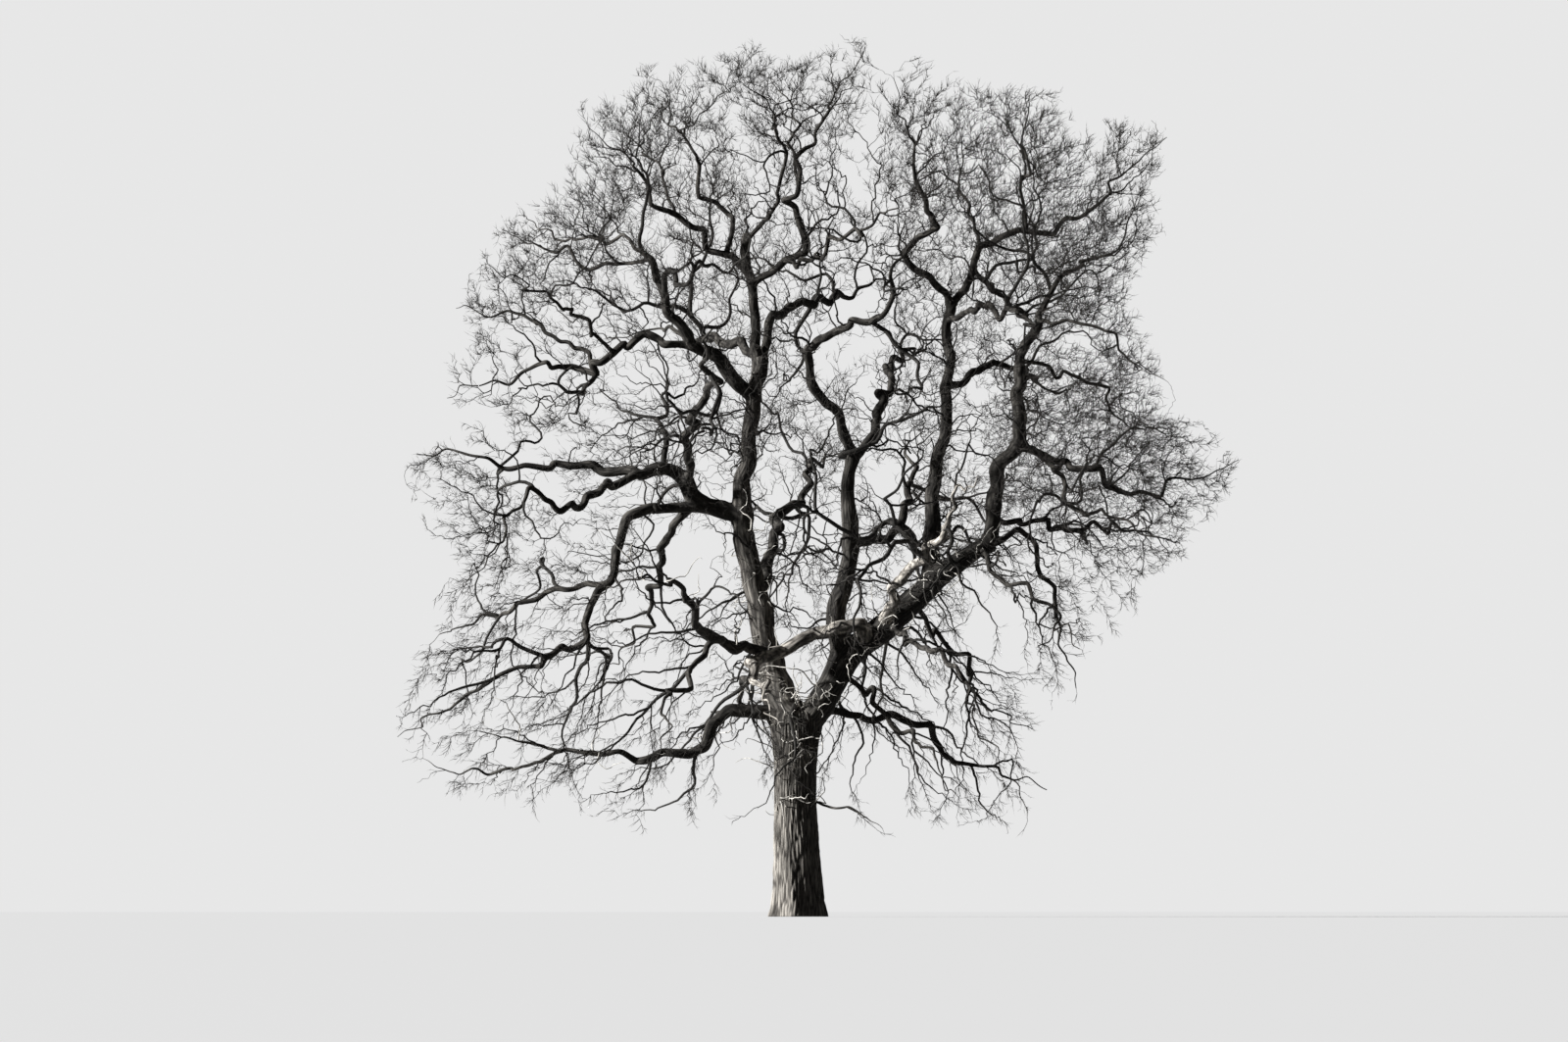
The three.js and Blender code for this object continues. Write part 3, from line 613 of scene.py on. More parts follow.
def ringFaces(rings, sides, first):
    # the four-sided faces of a tube, whose points run round each ring in turn
    ring, side = np.meshgrid(np.arange(rings - 1), np.arange(sides), indexing="ij")
    nextSide = (side + 1) % sides
    quads = np.stack([ring * sides + side, ring * sides + nextSide,
                      (ring + 1) * sides + nextSide, (ring + 1) * sides + side], axis=-1)
    return quads.reshape(-1, 4) + first


def paintedLightShadeOf(limb, spots):
    # painted light and shade: above 1 where the bark is painted paler as if sunlit, below 1 where it is
    # painted darker as if shaded
    if limb["name"] not in barkLook["paintedLightShade"]:
        return np.ones(len(spots))
    return np.interp(spots[:, 2], *barkLook["paintedLightShade"][limb["name"]])


def addValues(mesh, name, kind, key, values):
    layer = mesh.attributes.new(name, kind, "POINT")
    layer.data.foreach_set(key, np.concatenate(values).astype(np.float32).ravel())


def endsOf(limb):
    # the points in the middle of a limb's foot and tip; the tip is a little rounded
    ends = limb["core"][[0, -1], :3]
    if limb["parent"]:
        onward = unit(limb["core"][-1:, :3] - limb["core"][-2:-1, :3])
        ends[1] += (onward * limb["core"][-1, 3] * limbShape["tipPoint"])[0]
    return ends


def limbMesh(name, members):
    # the skins of several limbs as one mesh, each closed at both ends
    spots, faces, sizes, grain, depth, paintedLightShade = [], [], [], [], [], []
    total = 0
    for limb in members:
        foot = total + limb["rings"] * limb["sides"]
        tip = foot + 1
        quads = ringFaces(limb["rings"], limb["sides"], total)
        ring = np.arange(limb["sides"])
        after = (ring + 1) % limb["sides"]
        last = foot - limb["sides"]
        footFan = np.column_stack([np.full(len(ring), foot), total + after, total + ring])
        tipFan = np.column_stack([np.full(len(ring), tip), last + ring, last + after])
        ends = endsOf(limb)
        spots += [limb["spots"], ends]
        faces += [quads.ravel(), footFan.ravel(), tipFan.ravel()]
        sizes += [np.full(len(quads), 4), np.full(2 * len(ring), 3)]
        ringGrain = limb["grain"].reshape(limb["rings"], limb["sides"], 3)
        grain += [limb["grain"], ringGrain[[0, -1]].mean(axis=1)]
        depth += [limb["depth"], [0, 0]]
        # the painted light and shade, by height
        paintedLightShade += [paintedLightShadeOf(limb, limb["spots"]), paintedLightShadeOf(limb, ends)]
        total = tip + 1
    piece = meshPiece(name, np.vstack(spots), np.concatenate(faces), np.concatenate(sizes))
    addValues(piece.data, "grain", "FLOAT_VECTOR", "vector", grain)
    addValues(piece.data, "barkDepth", "FLOAT", "value", depth)
    addValues(piece.data, "paintedLightShade", "FLOAT", "value", paintedLightShade)
    bpy.ops.object.select_all(action="DESELECT")
    piece.select_set(True)
    bpy.context.view_layer.objects.active = piece
    modifier = piece.modifiers.new("bark", "NODES")
    modifier.node_group = relief
    bpy.ops.object.modifier_apply(modifier=modifier.name)
    return piece


print("Making the bark")
relief = barkRelief()
# the boughs' bark: a copy of the trunk's, painted darker as painted shade
shadedLimbBark = barkMaterial("limb")
stemNames = ["trunk", "left_leader", "right_bough"]
frontNames = ["front_limb_left", "front_limb_right"]
middleLine = 0.2    # the boughs left and right of this go into a piece each
rest = [name for name in sorted(limbs) if name not in stemNames + frontNames]
leftNames = [name for name in rest if limbs[name]["core"][:, 0].mean() < middleLine]
rightNames = [name for name in rest if name not in leftNames]
barkPieces = {
    "trunk_and_forks": (stemNames, barkMaterial("trunk"), "trunk_bark"),
    # the front limbs get a paler copy of the bark, as painted light
    "front_limbs": (frontNames, barkMaterial("front"), "limb_bark"),
    "left_boughs": (leftNames, shadedLimbBark, "limb_bark"),
    "right_boughs": (rightNames, shadedLimbBark, "limb_bark"),
}
for name, (members, material, slot) in barkPieces.items():
    piece = limbMesh(name, [limbs[member] for member in members])
    spots = meshSpots(piece.data)
    if name == "trunk_and_forks":
        spots[:trunkShape["sides"], 2] = 0      # the flat cut under the trunk
    spots[:, 2] = np.maximum(spots[:, 2], 0)
    piece.data.vertices.foreach_set("co", spots.ravel())
    piece.data.materials.append(material)
    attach(piece, "root")
    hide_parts(*members)
    print(name, len(piece.data.polygons), "faces")


# the crown's own shape: its outline from the front, its depth, and the gaps of sky in it, in metres

crown = {
    "middle": (0.45, 11.0),
    "halfDepth": 7.5,
    "fullness": 2.4,        # 2 is an ellipse from above, and more is squarer
    "levels": (1.06, 0.3, -0.04),    # the steps in which it is told how far out a place is
    "box": ((-9.6, -8.45, 1.8), (10.45, 8.45, 20.5)),    # nothing grows past its corners
    "endLength": 2.4,       # how much of a limb's end always bears twigs
    "spray": (0.75, 0.36),  # how far out such an end counts, and what each metre from it adds
    "outline": [
        (-9.25, 4.0), (-9.1, 5.3), (-8.5, 6.7), (-7.8, 7.95), (-8.65, 9.2), (-8.9, 10.7), (-7.6, 11.15),
        (-7.0, 11.45), (-8.1, 11.9), (-7.9, 13.6), (-7.1, 15.0), (-6.8, 16.1), (-5.4, 17.0), (-5.0, 18.5),
        (-4.3, 19.0), (-3.5, 19.55), (-2.1, 19.6), (-0.7, 19.9), (0.3, 20.0), (1.5, 20.0), (1.75, 19.0),
        (2.7, 19.55), (4.4, 19.0), (6.1, 18.8), (6.5, 17.5), (6.8, 18.35), (8.6, 18.0), (8.2, 16.5),
        (8.3, 15.2), (7.5, 14.3), (8.2, 12.9), (8.3, 11.6), (9.1, 11.35), (10.1, 10.5), (9.85, 9.7),
        (8.7, 8.1), (7.8, 7.5), (7.3, 6.4), (6.5, 6.1), (6.3, 5.0), (5.2, 3.95), (5.7, 2.9), (4.6, 2.1),
        (3.0, 1.9), (1.0, 2.2), (0.5, 2.6), (-0.6, 2.6), (-1.9, 2.1), (-3.9, 1.9), (-5.0, 2.4), (-8.0, 2.8),
        (-8.6, 3.7),
    ],
    # across, up, half width and half height of each gap
    "gaps": [
        (-2.3, 8.2, 0.95, 0.75), (-0.35, 9.5, 0.5, 0.75), (0.6, 9.1, 0.4, 0.6), (-0.3, 6.55, 0.25, 0.35),
        (0.1, 5.5, 0.3, 0.4), (2.1, 9.9, 0.65, 0.85), (2.0, 8.1, 0.4, 0.35), (1.6, 7.2, 0.35, 0.25),
        (4.1, 12.0, 0.6, 0.55), (3.9, 10.4, 0.45, 0.6), (4.9, 13.5, 0.4, 0.5), (6.3, 13.1, 0.6, 0.35),
        (0.9, 13.6, 0.75, 0.4), (1.6, 11.8, 0.35, 0.65), (1.5, 17.4, 0.4, 0.5), (-0.9, 16.7, 0.3, 0.5),
        (-6.3, 12.3, 1.4, 0.45), (-3.9, 12.3, 0.6, 0.45), (-2.0, 10.2, 0.4, 0.5), (-1.5, 3.6, 0.7, 0.7),
        (1.7, 3.6, 0.8, 0.7), (4.3, 6.9, 0.6, 0.6), (-3.2, 7.0, 0.3, 0.5), (-4.3, 13.4, 0.5, 0.3),
        (-1.5, 6.7, 0.25, 0.4),
    ],
}
outline = np.array(crown["outline"])


def limbEnd(limb):
    along = lengthsAlong(limb["core"])
    return limb["core"][along > along[-1] - crown["endLength"], :3][::4]


limbEnds = np.concatenate([limbEnd(limb) for name, limb in limbs.items() if name != "trunk"])


def insideOutline(x, z):
    inside = np.zeros(len(x), bool)
    for (ax, az), (bx, bz) in zip(outline, np.roll(outline, -1, axis=0)):
        crosses = (az > z) != (bz > z)
        inside ^= crosses & (x < (bx - ax) * (z - az) / (bz - az + 1e-12) + ax)
    return inside


def howFarOut(spots):
    # 0 in the crown's middle, 1 at its skin and 2 outside: the outline draws in to the front and
    # back, where the skin is uneven, and bulges there round the limbs' ends
    midX, midZ = crown["middle"]
    x, y, z = spots.T
    turn = np.arctan2(y, x - midX)
    uneven = 1 + 0.05 * np.sin(3 * turn + 0.5 * z + 1) + 0.04 * np.sin(5 * turn - 0.9 * z)
    uneven = uneven + 0.045 * np.sin(8 * turn + 2.1 * z) * np.sin(1.3 * z + 2)
    depth = np.clip(np.abs(y) / (crown["halfDepth"] * uneven), 0, 1)
    narrow = (1 - depth ** crown["fullness"]) ** (1 / crown["fullness"]) + 1e-3
    across = midX + (x - midX) / narrow
    up = midZ + (z - midZ) / narrow
    level = np.full(len(spots), 2.0)
    for ease in np.arange(*crown["levels"]):
        inside = insideOutline(midX + (across - midX) / ease, midZ + (up - midZ) / ease)
        level[inside] = ease
    least, growing = crown["spray"]
    nearEnd = least + growing * nearestOf(limbEnds, spots)[1]
    level = np.where(insideOutline(x, z), np.minimum(level, nearEnd), level)
    low, high = crown["box"]
    level[np.any((spots < low) | (spots > high), axis=1)] = 2
    return level


def clearOfGaps(spots, size):
    # the gaps' edges are uneven, each in its own way
    clear = np.ones(len(spots), bool)
    for number, (across, up, wide, high) in enumerate(crown["gaps"]):
        right, above = (spots[:, 0] - across) / wide, (spots[:, 2] - up) / high
        turn = np.arctan2(above, right)
        edge = 1 + 0.25 * np.sin(3 * turn + number) + 0.15 * np.sin(7 * turn + 2 * number)
        clear &= np.hypot(right, above) > edge * size
    return clear


# the wood of the crown grows in short steps from the limbs to the free places round it: first
# the crooked branches, and then the fine shoots on them

growth = {
    "branches": {
        "cell": 1.0,            # about how far apart the free places are
        "clear": 0.6,           # and how far from the limbs
        "reach": (0.93, 0.03),  # how far out in the crown they lie
        "share": ([0.3, 0.55, 0.72, 0.85, 1.0], [0.42, 0.5, 0.66, 0.85, 0.9]),   # how many are kept
        "skirt": ([2, 6, 10, 14], [0.8, 0.85, 1.0, 1.0]),      # and how many at each height
        "room": (0.62, 0.5),    # how near wood comes to a place before it is filled, low and high
        "stride": 0.16,         # length of a step
        "sight": 2.3,           # how far off a place may be that wood grows to
        "forks": 2,             # how many steps may set out from the end of one
        "rounds": 50,
        "turn": 0.25,           # above 0, no shoot turns back
        "keep": (1.2, 0.6),     # how far a step goes on straight, low down and high up
        "sway": (0.5, 0.95),    # and how crooked it is
        "outward": (0.9, 0.3),
    },
    "shoots": {
        "cell": 0.26,
        "clear": 0.4,
        "reach": (0.985, 0.03),
        "share": ([0.3, 0.55, 0.72, 0.85, 1.0], [0.21, 0.25, 0.31, 0.45, 0.58]),
        "skirt": ([2, 6, 10, 14], [0.6, 0.65, 0.9, 1.0]),
        "room": (0.4, 0.27),
        "stride": 0.12,
        "sight": 1.4,
        "forks": 3,
        "rounds": 26,
        "turn": 0.15,
        "keep": (1.4, 0.9),
        "sway": (0.32, 0.62),
        "outward": (1.0, 0.6),
    },
    "grid": ((-9.7, -8.5, 1.7), (10.4, 8.5, 20.3)),    # the room in which the places lie
    "sides": ([-8, -4, 0, 3, 8], [0.68, 0.72, 0.95, 1.3, 1.3]),     # it is sparser on the left
    # across, up, half width and half height of thinner and thicker stretches, and their share
    "patches": [
        (1.4, 17.4, 1.2, 1.8, 0.25), (1.4, 13.7, 1.4, 2.4, 0.3), (7.0, 17.0, 1.7, 1.4, 0.6),
        (6.6, 6.6, 1.6, 1.5, 0.3), (2.0, 2.6, 1.8, 0.9, 0.35), (-1.8, 5.0, 1.6, 1.1, 0.4),
        (4.0, 5.8, 2.0, 1.2, 0.45), (-2.4, 10.9, 2.0, 0.9, 2.8), (4.6, 10.8, 2.4, 1.2, 2.4),
        (1.2, 8.2, 1.8, 1.4, 2.0), (5.0, 15.2, 1.8, 0.8, 1.5), (-3.4, 8.2, 1.2, 1.2, 1.3),
        (-6.3, 10.4, 1.4, 1.9, 0.3), (6.2, 7.9, 1.6, 0.9, 0.35), (-1.2, 9.4, 1.2, 0.9, 0.45),
        (-3.9, 12.4, 1.4, 1.0, 0.4), (4.6, 16.8, 2.2, 0.8, 0.75), (3.9, 3.6, 1.5, 0.9, 0.45),
        (-3.9, 9.7, 1.3, 1.1, 0.5), (-3.7, 15.4, 1.3, 0.9, 0.65), (3.9, 17.9, 1.2, 0.9, 0.7),
        (-8.6, 10.0, 0.9, 1.0, 1.6), (7.0, 4.8, 1.2, 1.2, 0.4), (-7.0, 5.0, 1.2, 0.8, 0.6),
        (-1.0, 12.6, 1.2, 0.8, 0.6), (3.9, 13.6, 1.0, 0.8, 0.7),
    ],
    "budGap": 0.45,         # metres between the buds on a limb; every second one bears a branch
    "budShift": 0.3,        # how unevenly they are spaced
    "bareTrunk": 4.4,       # the trunk is bare up to here
    "bareFoot": {"trunk": 0.3, "limb": 0.9, "most": 0.4},    # metres, and at most this share of a limb
    "clump": ([0.45, 0.8, 1.25], [1.0, 0.66, 0.22]),    # shoots crowd round the branches' tips
    "bearing": 0.6,         # the share of a branch's steps that may bear shoots
    "heart": (0.4, 0, 8.0),          # the wood grows away from here
    "pull": ([2, 3.2, 6.5, 11, 17], [0.05, -0.22, -0.24, 0.05, 0.18]),
    "lowAndHigh": (5, 10),  # the heights of what is given for low and high wood
    "newSway": 0.65,        # how often a shoot sets out another way
    "strides": (0.8, 1.2),  # how much the steps differ in length
    "limit": 1.1,           # how far out a step may end
    "tip": 0.005,           # radius of a shoot at its tip
    "join": 2.3,            # how the thickness of two shoots adds up where they meet
    "taper": 0.012,         # and how much a shoot thickens for each metre that it runs on
    "onLimb": 0.72,         # how thick a branch may be beside the limb that bears it
    "leastTip": 0.9,        # and no tip is thinner than this share of the usual
    "foot": 1.1,            # a shoot's foot is a little thicker
    "crook": 0.028,         # how far each step lies off its line
    "stiffFrom": 0.012,     # from this radius on, wood is straighter
    "stiffOver": 0.05,
    "stiffMost": 0.5,
}


def pullAt(spots):
    # shoots reach up in the top of the crown, and hang down in its skirt
    return np.interp(spots[:, 2], *growth["pull"])


def lowHigh(pair, spots):
    return np.interp(spots[:, 2], growth["lowAndHigh"], pair)


def outwardAt(spots):
    return unit(spots - growth["heart"])


def freePlaces(spec):
    # one loosely placed point in each cell of a grid, where that falls inside the crown
    low, high = np.array(growth["grid"])
    counts = np.ceil((high - low) / spec["cell"]).astype(int)
    grid = np.stack(np.meshgrid(*[np.arange(n) for n in counts], indexing="ij"), axis=-1).reshape(-1, 3)
    spots = low + (grid + draw.uniform(0, 1, grid.shape)) * spec["cell"]
    level = howFarOut(spots)
    share = np.interp(level, *spec["share"]) * np.interp(spots[:, 2], *spec["skirt"])
    share = share * np.interp(spots[:, 0], *growth["sides"])
    for across, up, wide, tall, part in growth["patches"]:
        off = np.hypot((spots[:, 0] - across) / wide, (spots[:, 2] - up) / tall)
        share = share * (1 + (part - 1) * np.exp(-off**2))
    ragged = draw.normal(*spec["reach"], len(spots))
    keep = (level < ragged) & clearOfGaps(spots, 1) & (draw.uniform(0, 1, len(spots)) < share)
    return spots[keep]


def budsOnLimbs():
    # where the crown's own wood may start, with the limb's direction and radius there
    buds = {"spots": [], "heading": [], "radius": []}
    bare, shift = growth["bareFoot"], growth["budShift"]
    for name in sorted(limbs):
        core = limbs[name]["core"]
        if name == "trunk":
            core = core[core[:, 2] > growth["bareTrunk"]]
        at = lengthsAlong(core)
        first = bare["trunk" if name == "trunk" else "limb"]
        wanted = np.arange(min(first, at[-1] * bare["most"]), at[-1], growth["budGap"])
        wanted = wanted + draw.uniform(-shift, shift, len(wanted)) * growth["budGap"]
        row = np.clip(np.searchsorted(at, np.append(at[-1], wanted)), 0, len(core) - 1)
        buds["spots"].append(core[row, :3])
        buds["heading"].append(unit(np.gradient(core[:, :3], axis=0))[row])
        buds["radius"].append(core[row, 3])
    return {key: np.concatenate(value) for key, value in buds.items()}


def growWood(places, wood, mayGrow, spec):
    spots, heading, parent, sway = (wood[key] for key in ("spots", "heading", "parent", "sway"))
    forks = np.where(mayGrow, 0, spec["forks"])
    room = lowHigh(spec["room"], places)
    growers = np.flatnonzero(mayGrow)
    near, away = nearestOf(spots[growers], places)
    near = growers[near]
    for _ in range(spec["rounds"]):
        # each place draws the wood nearest to it, where that can see it ahead
        aim = unit(places - spots[near])
        seen = (away < spec["sight"]) & (forks[near] < spec["forks"])
        seen &= np.sum(aim * heading[near], axis=1) > spec["turn"]
        if not seen.any():
            break
        pulls = sumsOf(near[seen], aim[seen], len(spots))
        growing = np.unique(near[seen])
        here = spots[growing]
        turnAgain = draw.uniform(0, 1, (len(growing), 1)) < growth["newSway"]
        fresh = np.where(turnAgain, draw.normal(0, 1, (len(growing), 3)), sway[growing])
        ahead = unit(pulls[growing]) + lowHigh(spec["keep"], here)[:, None] * heading[growing]
        ahead = ahead + lowHigh(spec["sway"], here)[:, None] * fresh
        ahead = ahead + lowHigh(spec["outward"], here)[:, None] * outwardAt(here)
        ahead[:, 2] += pullAt(here)
        ahead = unit(ahead)
        steps = here + spec["stride"] * draw.uniform(*growth["strides"], (len(growing), 1)) * ahead
        forks[growing] += 1
        inside = howFarOut(steps) < growth["limit"]
        if not inside.any():
            break
        # the new steps join the wood, and the places they have come near to are filled
        growing, fresh, ahead, steps = growing[inside], fresh[inside], ahead[inside], steps[inside]
        number = len(spots) + np.arange(len(growing))
        spots, heading = np.concatenate([spots, steps]), np.concatenate([heading, ahead])
        sway, parent = np.concatenate([sway, fresh]), np.concatenate([parent, growing])
        forks = np.concatenate([forks, np.zeros(len(growing), int)])
        closest, gap = nearestOf(steps, places)
        nearer = gap < away
        near[nearer], away[nearer] = number[closest[nearer]], gap[nearer]
        left = away > room
        places, room, near, away = places[left], room[left], near[left], away[left]
    return {"spots": spots, "heading": heading, "parent": parent, "sway": sway}


def thicknessOf(parent, buds, budRadius, stride):
    # thickness adds up from the tips to the limbs, and a shoot stays thinner than what carries it
    load = np.zeros(len(parent))
    onward = np.zeros(len(parent))
    power = growth["join"]
    for node in range(len(parent) - 1, buds - 1, -1):
        load[node] = max(load[node], growth["tip"] ** power)
        before = parent[node]
        if before >= buds:
            load[before] += load[node]
            onward[before] = max(onward[before], onward[node] + stride[node])
    radius = np.maximum(load ** (1 / power), growth["taper"] * onward)
    ratio = np.ones(len(parent))
    for node in range(buds, len(parent)):
        if parent[node] < buds:
            ratio[node] = min(1, growth["onLimb"] * budRadius[parent[node]] / radius[node])
        else:
            ratio[node] = ratio[parent[node]]
    return np.maximum(radius * ratio, growth["tip"] * growth["leastTip"])


def linesOf(parent, radius, buds):
    # the wood as lines from a fork to a tip: at a fork, the thickest shoot carries the line on
    heir = np.full(len(parent), -1)
    for node in range(buds, len(parent)):
        before = parent[node]
        if before >= buds and (heir[before] < 0 or radius[node] > radius[heir[before]]):
            heir[before] = node
    line = np.full(len(parent), -1)
    total = 0
    for node in range(buds, len(parent)):
        before = parent[node]
        if before >= buds and heir[before] == node:
            line[node] = line[before]
        else:
            line[node] = total
            total += 1
    return heir, line


def settle(spots, parent, heir, radius, buds):
    # every step gets a small kink, and thick wood is straighter than thin wood
    spots[buds:] += draw.normal(0, growth["crook"], (len(spots) - buds, 3))
    stiff = (radius - growth["stiffFrom"]) / growth["stiffOver"]
    stiff = np.clip(stiff, 0, growth["stiffMost"])[:, None]
    inner = np.flatnonzero((np.arange(len(parent)) >= buds) & (heir >= 0))
    middle = (spots[parent[inner]] + spots[heir[inner]]) / 2
    spots[inner] += stiff[inner] * (middle - spots[inner])
    return spots


def lineRows(spots, parent, line, radius, buds):
    # the points of all lines one after another, each line from the wood that carries it
    nodes = np.arange(buds, len(parent))
    order = nodes[np.argsort(line[nodes], kind="stable")]
    starts = np.flatnonzero(np.diff(line[order], prepend=-1))
    rows = np.insert(spots[order], starts, spots[parent[order[starts]]], axis=0)
    thick = np.insert(radius[order], starts, radius[order[starts]] * growth["foot"])
    return rows, thick, starts + np.arange(len(starts))


print("Growing the crown's wood")
limbBuds = budsOnLimbs()
buds = len(limbBuds["spots"])
wood = {
    "spots": limbBuds["spots"],
    "heading": limbBuds["heading"],
    "parent": np.full(buds, -1),
    "sway": draw.normal(0, 1, (buds, 3)),
}
limbSpots = np.concatenate([limb["core"][::3, :3] for limb in limbs.values()])    # every third will do
places = freePlaces(growth["branches"])
places = places[nearestOf(limbSpots, places)[1] > growth["branches"]["clear"]]
wood = growWood(places, wood, np.arange(buds) % 2 == 0, growth["branches"])
branchSteps = len(wood["spots"])
isTip = np.ones(branchSteps, bool)
isTip[wood["parent"][buds:]] = False
print(len(places), "places,", buds, "buds,", branchSteps, "steps of branch,", isTip.sum(), "tips")
places = freePlaces(growth["shoots"])
clump = np.interp(nearestOf(wood["spots"][isTip], places)[1], *growth["clump"])
places = places[draw.uniform(0, 1, len(places)) < clump]
places = places[nearestOf(limbSpots, places)[1] > growth["shoots"]["clear"]]
mayGrow = draw.uniform(0, 1, branchSteps) < growth["bearing"]
wood = growWood(places, wood, mayGrow | isTip, growth["shoots"])
woodSpots, woodHeading, woodParent = wood["spots"], wood["heading"], wood["parent"]
woodStride = np.linalg.norm(woodSpots - woodSpots[woodParent], axis=1)
woodRadius = thicknessOf(woodParent, buds, limbBuds["radius"], woodStride)
heir, woodLine = linesOf(woodParent, woodRadius, buds)
woodSpots = settle(woodSpots, woodParent, heir, woodRadius, buds)
rows, thick, starts = lineRows(woodSpots, woodParent, woodLine, woodRadius, buds)
print(len(places), "places,", len(woodSpots), "steps,", len(starts), "lines")


# the twigs, and short straight side shoots on them

twigs = {
    "most": 58000,
    "thickest": 0.013,       # of the wood that carries twigs
    "where": ([0.5, 0.8, 0.95], [0.35, 0.7, 1.1]),   # how many there are from the middle to the skin
    "skirt": ([3, 8], [0.7, 1]),                     # and at each height
    "ahead": (0.45, 0.7, 0.4),       # how much a twig goes on along its wood, aside and outward
    "bend": (0.45, 0.3),             # how much its second half turns, anyhow and outward
    "length": (0.25, 0.09),
    "lengthRange": (0.08, 0.6),
    "limit": 1.05,           # how far out it may end
    "intoGaps": 0.85,        # how much of each gap stays open
    "radius": 0.0054,
    "radiusRange": (0.8, 1.15),
    "taper": (1, 0.8, 0.5),
    "sides": 3,
}

spurs = {
    "most": 60000,
    "foot": (0.2, 1),        # where they start between two points of a twig
    "ahead": (0.8, 0.6),     # how much they go on along the twig, and aside
    "length": (0.07, 0.18),
    "radius": 0.0046,
    "taper": (1, 0.5),
    "sides": 3,
}


def growTwigs():
    spec = twigs
    carriers = np.flatnonzero(woodRadius < spec["thickest"])
    carriers = carriers[carriers >= buds]
    chance = np.interp(howFarOut(woodSpots[carriers]), *spec["where"])
    chance = chance * np.interp(woodSpots[carriers, 2], *spec["skirt"])
    chosen = draw.choice(carriers, spec["most"], p=chance / chance.sum())
    start = woodSpots[chosen]
    outward = outwardAt(start)
    aside = unit(np.cross(woodHeading[chosen], draw.normal(0, 1, (len(chosen), 3))))
    onPart, asidePart, outPart = spec["ahead"]
    ahead = woodHeading[chosen] * onPart + aside * asidePart + outward * outPart
    ahead[:, 2] += pullAt(start)
    ahead = unit(ahead)
    length = np.clip(draw.normal(*spec["length"], len(chosen)), *spec["lengthRange"])[:, None]
    anyPart, outPart = spec["bend"]
    turned = unit(ahead + draw.normal(0, anyPart, ahead.shape) + outward * outPart)
    middle = start + ahead * length * 0.5
    end = middle + turned * length * 0.5
    keep = (howFarOut(end) < spec["limit"]) & clearOfGaps(end, spec["intoGaps"])
    path = np.stack([start, middle, end], axis=1)[keep]
    radius = spec["radius"] * draw.uniform(*spec["radiusRange"], (len(path), 1))
    return path, radius * spec["taper"]


def growSpurs(paths):
    spec = spurs
    path = paths[draw.integers(0, len(paths), spec["most"])]
    half = draw.integers(0, 2, len(path))
    low = path[np.arange(len(path)), half]
    high = path[np.arange(len(path)), half + 1]
    start = low + (high - low) * draw.uniform(*spec["foot"], (len(path), 1))
    onward = unit(high - low)
    aside = unit(np.cross(onward, draw.normal(0, 1, onward.shape)))
    onPart, asidePart = spec["ahead"]
    ahead = unit(onward * onPart + aside * asidePart)
    length = draw.uniform(*spec["length"], (len(path), 1))
    radius = np.full((len(path), 1), spec["radius"])
    return np.stack([start, start + ahead * length], axis=1), radius * spec["taper"]


print("Growing the twigs")
twigPath, twigRadius = growTwigs()
spurPath, spurRadius = growSpurs(twigPath)
print(len(twigPath), "twigs,", len(spurPath), "spurs")


# crooked pale shoots that sprout from the old bark round the fork

sprouts = {
    "from": {
        "trunk": 50,
        "left_leader": 40,
        "right_bough": 90,
        "low_left_bough": 10,
        "left_front_limb": 10,
    },
    "lowest": 2.3,
    "highest": 9.0,
    "front": (-0.4, -0.9, 0.0),       # most of them are on the side that gets the light
    "shaded": 0.3,                    # how many there are on the others
    "sunk": 0.03,                     # depth of their feet in the bark
    "spread": 0.35,
    "rise": 0.35,                     # how much they turn up at the foot
    "climb": 0.05,                    # and at each step
    "length": (0.3, 1.9),
    "shorten": (0.5, 1),
    "thick": 0.015,                   # radius at the foot of a shoot one metre long
    "taper": 0.35,
    "thinnest": 0.003,
    "steps": 12,
    "crook": 0.42,
    "sides": 5,
}


def growSprouts():
    spec = sprouts
    paths, radii = [], []
    for name, count in spec["from"].items():
        limb = limbs[name]
        height = limb["spots"][:, 2]
        usable = np.flatnonzero((height > spec["lowest"]) & (height < spec["highest"]))
        lit = spec["shaded"] + np.clip(limb["out"][usable] @ np.array(spec["front"]), 0, 1)
        foot = draw.choice(usable, count, p=lit / lit.sum())
        ahead = limb["out"][foot] + draw.normal(0, spec["spread"], (count, 3)) + [0, 0, spec["rise"]]
        length = draw.uniform(*spec["length"], count) * draw.uniform(*spec["shorten"], count)
        path = [limb["spots"][foot] - spec["sunk"] * limb["out"][foot]]
        for _ in range(spec["steps"]):
            ahead = unit(ahead + draw.normal(0, spec["crook"], (count, 3)) + [0, 0, spec["climb"]])
            path.append(path[-1] + ahead * (length / spec["steps"])[:, None])
        paths.append(np.stack(path, axis=1))
        shrink = np.linspace(1, spec["taper"], spec["steps"] + 1)
        thickness = spec["thick"] * np.sqrt(length)[:, None] * shrink
        radii.append(np.maximum(thickness, spec["thinnest"]))
    return np.concatenate(paths), np.concatenate(radii)


# the meshes of all this wood

woodKinds = {
    # radius at the foot: more than, and up to; and how many sides it gets
    "branch": (0.026, 1.0, 8),
    "branchlet": (0.011, 0.026, 5),
    "shoot": (0.0, 0.011, 3),
}
pieceTriangles = 170000    # about how many a piece may have

